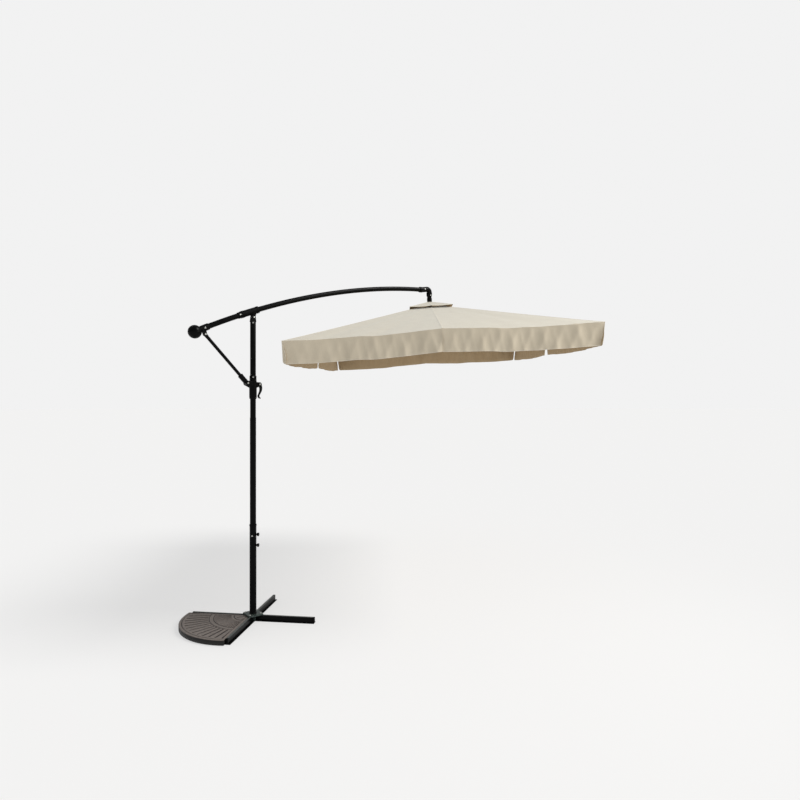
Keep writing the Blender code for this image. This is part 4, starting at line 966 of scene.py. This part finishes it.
# Sleeve on the mast: a turned shell with a swollen middle, cheeks for the strut and lever, and their pins.
def makeSlider():
    low, high = boxOf("mast_upper")
    bore = high[0] + 0.0004
    lowest, highest = boxOf("slider_sleeve")
    bottom, top = lowest[2], highest[2]
    wide = sliderLook["wide"]
    neck = wide - 0.002
    profile = [(neck - 0.0006, top), (neck, top - 0.0008), (neck, top - 0.028), (neck + 0.0004, top - 0.034),
               (wide - 0.0004, top - 0.042), (wide, top - 0.048), (wide, bottom + 0.014),
               (wide - 0.0005, bottom + 0.009), (neck, bottom + 0.002), (neck - 0.001, bottom),
               (bore, bottom), (bore, top)]
    sleeve = turnedPiece("sliderShell", profile, (0, 0, 0), ring=True, sides=72, smooth=40)
    finishPiece(sleeve, "mouldedBlack", "slider", "slider_sleeve")
    place = np.array(viewSide) * (neck + 0.0001) + np.array((0, 0, top - 0.010))
    boltPiece("sliderScrew", place, viewSide, "slim", "slider", "slider_sleeve")
    wall = sliderLook["wall"]
    uses = (("Strut", sliderLook["strutPin"], 0.0186, (-0.012, 1.668), 0.0170, "slider_pin"),
            ("Lever", sliderLook["leverPin"], 0.0096, (0.019, 1.667), 0.0150, "lever_pin"))
    for use, pin, inner, towards, radius, node in uses:
        outline = eyeOutline(pin, radius, towards, flare=0.006)
        for side, near, far in (("Near", -inner - wall, -inner), ("Far", inner, inner + wall)):
            cheek = platePiece(f"slider{use}Cheek{side}", outline, near, far, 0.0012)
            finishPiece(cheek, "mouldedBlack", "slider", "slider_sleeve")
        pinAcross(f"slider{use}Pin", pin[0], pin[1], inner + wall + 0.002, "slider", node, 0.0035)


leverLook = dict(width=0.018, cam=0.0115)


# Band of given half width about a path in X and Z.
def bandOutline(path, widths):
    path = np.asarray(path, float)
    step = np.gradient(path, axis=0)
    along = step / np.linalg.norm(step, axis=1, keepdims=True)
    across = np.column_stack([-along[:, 1], along[:, 0]]) * np.asarray(widths)[:, None]
    return np.vstack([path + across, (path - across)[::-1]])


# Smooth curve through a few points: each coordinate is a cubic between neighbours (Catmull-Rom).
def smoothPath(points, per=6):
    points = np.asarray(points, float)
    ends = np.vstack([2 * points[0] - points[1], points, 2 * points[-1] - points[-2]])
    share = np.linspace(0, 1, per, endpoint=False)[None, :, None]
    p0, p1, p2, p3 = (ends[k:len(ends) - 3 + k][:, None, :] for k in range(4))
    curve = 0.5 * (2 * p1 + (p2 - p0) * share + (2 * p0 - 5 * p1 + 4 * p2 - p3) * share ** 2
                   + (3 * p1 - p0 - 3 * p2 + p3) * share ** 3)
    return np.vstack([curve.reshape(-1, points.shape[1]), points[-1:]])


def makeLever():
    x, z = sliderLook["leverPin"]
    blade = [(0.000, 0.000, 0.0112), (0.006, -0.006, 0.0105), (0.013, -0.026, 0.0077), (0.010, -0.048, 0.006),
             (0.001, -0.068, 0.0042), (-0.005, -0.082, 0.0038), (-0.001, -0.094, 0.0036),
             (0.009, -0.0985, 0.0030)]
    curve = smoothPath(blade)
    path = curve[:, :2] + np.array((x, z))
    half = leverLook["width"] / 2
    lever = platePiece("clampLever", bandOutline(path, curve[:, 2]), -half, half, 0.0014)
    finishPiece(lever, "mouldedBlack", "lever", "lock_lever")
    cam = arc((x, z), leverLook["cam"], 0, 352, 44)
    finishPiece(platePiece("clampCam", cam, -half, half, 0.0012), "mouldedBlack", "lever", "lock_lever")


makeStrut()
makeSlider()
makeLever()
print("stage: strut and slider")

# ---- arm tip
tipLook = dict(elbow=0.0225, bend=0.026, rise=0.012, knuckle=0.016, tongue=0.024, wall=0.007, pole=0.0215,
               poleEnd=0.112)


def makeElbow():
    x, _, z = joints["canopy_tilt"]["pos_m"]
    start = armSpan["tip"] + 0.0006
    base = float(armHeight(armSpan["tip"]))
    rise = base + tipLook["rise"]
    bend = tipLook["bend"]
    turn = np.radians(np.linspace(0, 90, 16))
    forkTop = z + tipLook["knuckle"] + 0.004
    slope = math.tan(armSlope(armSpan["tip"]))
    path = [(start, 0, base), (start, 0, base), (start + 0.001, 0, base + 0.001 * slope),
            (start + 0.024, 0, base + 0.024 * slope), (start + 0.0255, 0, base + 0.0255 * slope)]
    path += [(x - bend + bend * math.sin(a), 0, rise - bend + bend * math.cos(a)) for a in turn]
    path += [(x, 0, forkTop + 0.0010), (x, 0, forkTop), (x, 0, forkTop)]
    wide = tipLook["elbow"]
    collar = wide + 0.0015
    radii = [0, collar - 0.001, collar, collar, wide] + [wide] * 16 + [wide, wide - 0.0010, 0]
    finishPiece(sweptPiece("tipElbow", path, radii, 56, 40), "mouldedBlack", "arm", "elbow")
    outline = eyeOutline((x, z), tipLook["knuckle"], (x, forkTop + 0.003), flare=0.001)
    inner = tipLook["tongue"] / 2 + 0.0003
    outer = inner + tipLook["wall"]
    for name, near, far in (("tipEarNear", -outer, -inner), ("tipEarFar", inner, outer)):
        finishPiece(platePiece(name, outline, near, far, 0.0018), "mouldedBlack", "arm", "elbow")
    pinAcross("knucklePinBright", x, z, outer + 0.002, "arm", "knuckle_pin")
    low, high = boxOf("elbow_bolt")
    middle = (low + high) / 2
    boltPiece("tipScrew", (middle[0], high[1] - 0.0002, middle[2]), (0, -1, 0), "cap", "arm", "elbow_bolt")


# Short pole below the knuckle: a tongue between the ears and a shaft that tapers towards the hub.
def makePole():
    knuckle = np.array(joints["canopy_tilt"]["pos_m"])
    down = -unit(joints["canopy_spin"]["axis"])
    shoulder = tipLook["knuckle"] + 0.006
    wide = tipLook["pole"]
    profile = [(0, shoulder), (wide - 0.004, shoulder), (wide - 0.001, shoulder + 0.0015),
               (wide, shoulder + 0.004),
               (wide, shoulder + 0.028), (wide - 0.0012, shoulder + 0.031), (wide - 0.0022, 0.078),
               (wide - 0.0022, tipLook["poleEnd"]), (0, tipLook["poleEnd"])]
    pole = turnedPiece("hangingSleeve", profile, knuckle, down, 56, smooth=40)
    finishPiece(pole, "mouldedBlack", "pole", "hanging_pole")
    far = knuckle + down * (shoulder + 0.002)
    outline = eyeOutline(knuckle[[0, 2]], tipLook["knuckle"], far[[0, 2]])
    half = tipLook["tongue"] / 2
    tongue = platePiece("hangingTongue", outline, -half, half, 0.0018)
    finishPiece(tongue, "mouldedBlack", "pole", "hanging_pole")


makeElbow()
makePole()
print("stage: arm tip")

# ---- canopy frame
knuckle = np.array(joints["canopy_tilt"]["pos_m"])
poleUp = unit(joints["canopy_spin"]["axis"])
longAxis = unit(joints["rib_1_fold"]["axis"])
shortAxis = np.cross(longAxis, poleUp)


# Canopy coordinates (short side, long side, up the pole from the knuckle) to the row frame.
def fromCanopy(points):
    return knuckle + np.asarray(points, float) @ np.array([shortAxis, longAxis, poleUp])


hubLook = dict(radius=0.030, height=0.024, guide=0.010, guideEnd=0.370, runner=0.027, runnerHeight=0.030)


def makeHubAndRunner():
    hubMiddle = float(np.dot(np.array(joints["canopy_spin"]["pos_m"]) - knuckle, poleUp))
    top = hubMiddle + hubLook["height"] / 2
    bottom = top - hubLook["height"]
    wide = hubLook["radius"]
    groove = [(wide, bottom + 0.009), (wide - 0.002, bottom + 0.010), (wide - 0.002, bottom + 0.014),
              (wide, bottom + 0.015)]
    profile = [(0, top), (wide - 0.002, top), (wide, top - 0.002)] + groove[::-1]
    profile += [(wide, bottom + 0.002), (wide - 0.002, bottom), (hubLook["guide"] + 0.003, bottom),
                (hubLook["guide"], bottom - 0.004), (hubLook["guide"], -hubLook["guideEnd"] + 0.003),
                (hubLook["guide"] - 0.003, -hubLook["guideEnd"]), (0, -hubLook["guideEnd"])]
    finishPiece(turnedPiece("ribHubBlock", profile, knuckle, poleUp, 56), "mouldedBlack", "hub", "rib_hub")
    low, high = boxOf("runner")
    middle = (low + high) / 2
    half = hubLook["runnerHeight"] / 2
    wide = hubLook["runner"]
    inner = hubLook["guide"] + 0.0008
    profile = [(wide - 0.002, half), (wide, half - 0.002), (wide, 0.004), (wide - 0.002, 0.003),
               (wide - 0.002, -0.003), (wide, -0.004), (wide, -half + 0.002), (wide - 0.002, -half),
               (inner, -half), (inner, half)]
    ring = turnedPiece("runnerRing", profile, middle, poleUp, 56, ring=True)
    finishPiece(ring, "mouldedBlack", "runner", "runner")


def makeRibs():
    for number in range(1, 9):
        refinedCopy(f"ribBar{number}", f"rib_{number}", "ribGrey", 0.0009)
        refinedCopy(f"stretcherBar{number}", f"stretcher_{number}", "ribGrey", 0.0008)


makeHubAndRunner()
makeRibs()
print("stage: ribs, hub and runner")

# ---- canopy cloth
canopyLook = dict(halfShort=1.0, halfLong=1.5, rise=0.351, rimDrop=0.431, ridgeLift=0.021, valance=0.148,
                  ventShare=0.10, capShare=0.18, capLift=0.024, capRise=0.065, capHole=0.10, capSag=0.05,
                  panelSag=0.012, ripple=0.0050, rimScallop=0.004, wave=0.026, cornerFlare=0.014,
                  cornerLean=0.022, hemCorner=0.022, hemFrom=0.915, hemThick=0.0009, trimWidth=0.006,
                  nearSlit=(0.001, 0.004), farSlit=(0.010, 0.030), sideSlit=(0.018, 0.048), slitPull=0.14,
                  seamWidth=0.010, seamLift=0.0010, thick=0.0011, gathered=0.08, capGathered=0.30)
ribEnds = np.array([(1, 0), (1, 1), (0, 1), (-1, 1), (-1, 0), (-1, -1), (0, -1), (1, -1)], float)
ribEnds = ribEnds * np.array((canopyLook["halfShort"], canopyLook["halfLong"]))
segmentLength = np.linalg.norm(np.roll(ribEnds, -1, axis=0) - ribEnds, axis=1)


def hasSlit(rib):
    return abs(ribEnds[rib % 8][0]) > 0.01


# Height above the rim plane that a rib's end has: the short sides' middles stand a little higher.
def ribLift(rib):
    return 0.0 if hasSlit(rib) else canopyLook["ridgeLift"]


# Slow wrinkles: a few sine waves along the rim and down the cloth, with fixed phases for each segment.
def wrinkle(segment, share, down, amount):
    phase = 1.7 * segment
    return amount * (0.50 * np.sin(9.0 * share + 2.1 * down + phase)
                     + 0.30 * np.sin(17.0 * share - 3.7 * down + 2 * phase)
                     + 0.20 * np.sin(31.0 * share + 5.3 * down + 3 * phase))


# How close a point lies to the canopy's corner in its segment: 1 at the corner rib, fading over a quarter.
def cornerShare(segment, share):
    atStart = abs(ribEnds[segment % 8]).min() > 0.01
    return 1 - ease(share if atStart else 1 - share, 0.0, 0.35)


# Roof between two neighbouring ribs: the straight run between their lines at the same share of the way to the
# rim, lowered by a sag that is greatest half way between the ribs.
def roofPoint(segment, share, out, look):
    a, b = ribEnds[segment % 8], ribEnds[(segment + 1) % 8]
    belly = np.sin(np.pi * share)
    plan = (a * (1 - share[..., None]) + b * share[..., None]) * out[..., None]
    plan = plan * (1 - look["scallop"] * belly * out ** 2)[..., None]
    edge = np.full_like(share, look["rim"])
    if look["flap"]:
        plan = plan * (1 + canopyLook["cornerFlare"] * cornerShare(segment, share) * out ** 6)[..., None]
        edge = edge + ribLift(segment) * (1 - share) + ribLift(segment + 1) * share
    height = look["apex"] + (edge - look["apex"]) * out - look["sag"] * belly * out ** 1.5
    return np.concatenate([plan, height[..., None]], -1)


# Outward level direction of a rim segment, in canopy coordinates.
def rimOutward(segment):
    a, b = ribEnds[segment % 8], ribEnds[(segment + 1) % 8]
    run = unit(b - a)
    return np.array((run[1], -run[0], 0.0))


# Half the width of the slit at a rib, which opens quickly below the rim and then slowly to the hem.
def slitGap(rib, fall):
    reach = ribEnds[rib % 8][1]
    top, hem = canopyLook["sideSlit" if abs(reach) < 0.01 else "farSlit" if reach > 0 else "nearSlit"]
    return ease(fall, 0, 0.10) * (top + (hem - top) * fall)


# Wave with rounded hollows and narrower crests, as hanging cloth has.
def crease(angle):
    return 1.6 * (0.5 + 0.5 * np.sin(angle)) ** 2.2 - 0.6


# Flap below the rim: hangs straight down in the row frame, with folds that grow towards the hem; near a slit
# its edge draws back and its hem corner is rounded.
def flapPoint(segment, share, fall, rimPoints):
    outward = rimOutward(segment)
    run = unit(ribEnds[(segment + 1) % 8] - ribEnds[segment % 8])
    length = segmentLength[segment % 8]
    fromStart, fromEnd = share * length, (1 - share) * length
    corner = canopyLook["hemCorner"]
    toSlit = np.full_like(share, 9.0)
    draw = np.zeros_like(share)
    if hasSlit(segment):
        toSlit = np.minimum(toSlit, fromStart)
        draw = draw + slitGap(segment, fall) * (1 - ease(fromStart, 0, canopyLook["slitPull"]))
    if hasSlit(segment + 1):
        toSlit = np.minimum(toSlit, fromEnd)
        draw = draw - slitGap(segment + 1, fall) * (1 - ease(fromEnd, 0, canopyLook["slitPull"]))
    inCorner = np.clip(1 - toSlit / corner, 0, 1)
    cut = corner * (1 - np.sqrt(np.clip(1 - inCorner ** 2, 0, 1)))
    drop = fall * (canopyLook["valance"] - cut)
    seam = length * share + 3.1 * segment
    fold = (0.30 * np.sin(13.3 * seam + 1.1 + 0.9 * fall)
            + 0.30 * crease(34.0 * seam + 2.3 - 2.4 * fall + 1.3 * np.sin(5.1 * seam))
            + 0.26 * crease(61.0 * seam + 0.4 + 3.1 * fall + 1.9 * np.sin(3.3 * seam))
            + 0.14 * crease(97.0 * seam + 1.9 - 3.4 * fall + 2.2 * np.sin(4.7 * seam)))
    gather = 0.62 + 0.38 * np.sin(2.3 * seam + 0.8)
    billow = canopyLook["wave"] * fold * gather * fall ** 0.6 * (1 - 0.45 * fall)
    down = np.array((np.dot((0, 0, -1), shortAxis), np.dot((0, 0, -1), longAxis), np.dot((0, 0, -1), poleUp)))
    billow = billow - canopyLook["cornerLean"] * cornerShare(segment, share) * fall
    points = rimPoints + drop[..., None] * down + billow[..., None] * outward
    return points + draw[..., None] * np.array((run[0], run[1], 0.0))


# Grid of shares between a rib and the middle of the segment beside it, crowded next to the rib.
def ribSideShares(segment, count):
    length = segmentLength[segment % 8]
    seam = canopyLook["seamWidth"] / 2 / length
    trim = canopyLook["trimWidth"] / length
    close = np.array((0, seam * 0.55, seam, trim, seam * 1.6, 0.014 / length, 0.020 / length))
    return np.concatenate([np.sort(close), np.linspace(0.028 / length, 0.5, count)])


# Roof part of one side of a gore: points, and UVs in metres across the rib and along it.
def roofSide(rib, segment, shares, local, side, look):
    out, share = np.meshgrid(look["outs"], local, indexing="ij")
    roof = roofPoint(segment, share, out, look)
    roof[..., 2] += wrinkle(segment, share, out, look["ripple"]) * np.sin(np.pi * share) * out
    away = shares[None, :] * segmentLength[segment % 8] * out
    seam = canopyLook["seamWidth"]
    roof[..., 2] += canopyLook["seamLift"] * (1 - ease(away, seam * 0.42, seam * 0.55))
    across = side * shares[None, :] * segmentLength[segment % 8] * np.ones_like(out)
    distance = out * float(np.linalg.norm(ribEnds[rib % 8]))
    return roof, np.stack([across * out, distance], -1)


# Flap part of one side of a gore, hung from the roof's last row, with its UVs and the finish of each face.
def flapSide(rib, segment, shares, local, roof, roofUvs, side):
    hem = canopyLook["hemFrom"]
    falls = np.concatenate([[0.0, 0.02, 0.05], np.linspace(0.10, 0.88, 9), [hem, hem + 0.01, 0.97, 1.0]])
    fall, share = np.meshgrid(falls, local, indexing="ij")
    flap = flapPoint(segment, share, fall, np.broadcast_to(roof[-1], (len(falls), len(local), 3)))
    hemmed = ease(fall, hem - 0.015, hem + 0.01) * canopyLook["hemThick"]
    flap = flap + hemmed[..., None] * rimOutward(segment)
    fromRib = shares * segmentLength[segment % 8]
    along = roofUvs[-1, 0, 1] + fall * canopyLook["valance"]
    uvs = np.stack([side * fromRib * np.ones_like(fall), along], -1)
    trim = np.zeros((len(falls) - 1, len(local) - 1), np.int32)
    trim[-1] = 2
    if hasSlit(rib):
        trim[:, fromRib[1:] < canopyLook["trimWidth"] * 1.05] = 2
    return flap, uvs, trim.ravel()


# One gore of cloth, centred on its rib and reaching half way to each neighbour.
def makeGore(rib, look, name, replaced):
    points, faces, uvs, finish = [], [], [], []
    total = 0
    for segment, side in ((rib, 1), (rib - 1, -1)):
        shares = ribSideShares(segment, look["columns"])
        local = shares if side > 0 else 1 - shares
        roof, roofUvs = roofSide(rib, segment, shares, local, side, look)
        blocks = [(roof, roofUvs, None)]
        if look["flap"]:
            blocks.append(flapSide(rib, segment, shares, local, roof, roofUvs, side))
        for grid, gridUvs, finishes in blocks:
            block = gridFaces(len(grid), len(shares), start=total)
            points.append(grid.reshape(-1, 3))
            uvs.append(gridUvs.reshape(-1, 2))
            faces.append(block if side < 0 else block[:, ::-1])
            finish.append(np.zeros(len(block), np.int32) if finishes is None else finishes)
            total += len(grid) * len(shares)
    cloths = [np.concatenate(part) for part in (points, faces, uvs, finish)]
    return clothPiece(name, *cloths, rib, replaced)


# Cloth mesh with its own UV map in metres, merged along shared edges; a wall's inside takes a darker, browner
# copy of the canvas: painted shade with the warm tint of light shining through the cloth.
def clothPiece(name, points, faces, uvs, finish, rib, replaced):
    mesh = bpy.data.meshes.new(name)
    mesh.from_pydata(fromCanopy(points).tolist(), [], faces.tolist())
    layer = mesh.uv_layers.new(name="cloth")
    corner = np.empty(len(mesh.loops), np.int32)
    mesh.loops.foreach_get("vertex_index", corner)
    layer.data.foreach_set("uv", uvs[corner].ravel().astype(np.float32))
    mesh.polygons.foreach_set("material_index", finish)
    work = bmesh.new()
    work.from_mesh(mesh)
    bmesh.ops.remove_doubles(work, verts=work.verts, dist=meshLimits["clothDouble"])
    work.to_mesh(mesh)
    work.free()
    mesh.shade_smooth()
    mesh.set_sharp_from_angle(angle=math.radians(meshLimits["clothSharp"]))
    sharpenRim(mesh)
    mesh.materials.append(cloth["canvasOuter"])
    mesh.materials.append(cloth["canvasInnerShade"])
    mesh.materials.append(cloth["canvasTrim"])
    mesh.materials.append(cloth["canvasInnerShade"])
    piece = bpy.data.objects.new(name, mesh)
    bpy.context.scene.collection.objects.link(piece)
    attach(piece, f"rib_body_{rib + 1}")
    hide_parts(replaced)
    return piece


# Edges that belong to one face only are marked sharp, so that the wall doesn't round them.
def sharpenRim(mesh):
    used = np.empty(len(mesh.loops), np.int32)
    mesh.loops.foreach_get("edge_index", used)
    single = np.bincount(used, minlength=len(mesh.edges)) == 1
    sharp = mesh.attributes.get("sharp_edge") or mesh.attributes.new("sharp_edge", "BOOLEAN", "EDGE")
    kept = np.empty(len(mesh.edges), bool)
    sharp.data.foreach_get("value", kept)
    sharp.data.foreach_set("value", kept | single)


# The cloth's wall: a Solidify modifier inwards, whose inside takes the material one place further on.
def addWall(piece):
    wall = piece.modifiers.new("wall", "SOLIDIFY")
    wall.thickness = canopyLook["thick"]
    wall.offset = -1
    wall.material_offset = 1
    wall.material_offset_rim = 0


def makeCanopy():
    rim = -canopyLook["rimDrop"]
    apex = rim + canopyLook["rise"]
    roof = dict(outs=np.linspace(canopyLook["ventShare"], 1, 36), columns=56, apex=apex, rim=rim, flap=True,
                sag=canopyLook["panelSag"], scallop=canopyLook["rimScallop"], ripple=canopyLook["ripple"])
    share = canopyLook["capShare"]
    capApex = apex - canopyLook["rise"] * share + canopyLook["capLift"] + canopyLook["capRise"]
    cap = dict(outs=np.linspace(canopyLook["capHole"], 1, 14) * share, columns=8, apex=capApex, flap=False,
               rim=capApex - canopyLook["capRise"] / share, sag=canopyLook["capSag"], scallop=0.0, ripple=0.0)
    for look, name, replaced, keep, flap in (
            (roof, "canopyGore", "canopy", canopyLook["gathered"], canopyLook["valance"]),
            (cap, "ventGore", "vent_cap", canopyLook["capGathered"], 0.0)):
        for rib in range(8):
            settle(makeGore(rib, look, f"{name}{rib + 1}", replaced), rib)


def settle(gore, rib):
    anchor = joints[f"rib_{rib + 1}_fold"]["pos_m"]
    count = len(gore.data.vertices)
    places = np.empty(count * 3)
    gore.data.vertices.foreach_get("co", places)
    places = places.reshape(-1, 3) - np.array(anchor)
    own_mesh(gore)
    addWall(gore)


makeCanopy()
print("stage: canopy cloth")

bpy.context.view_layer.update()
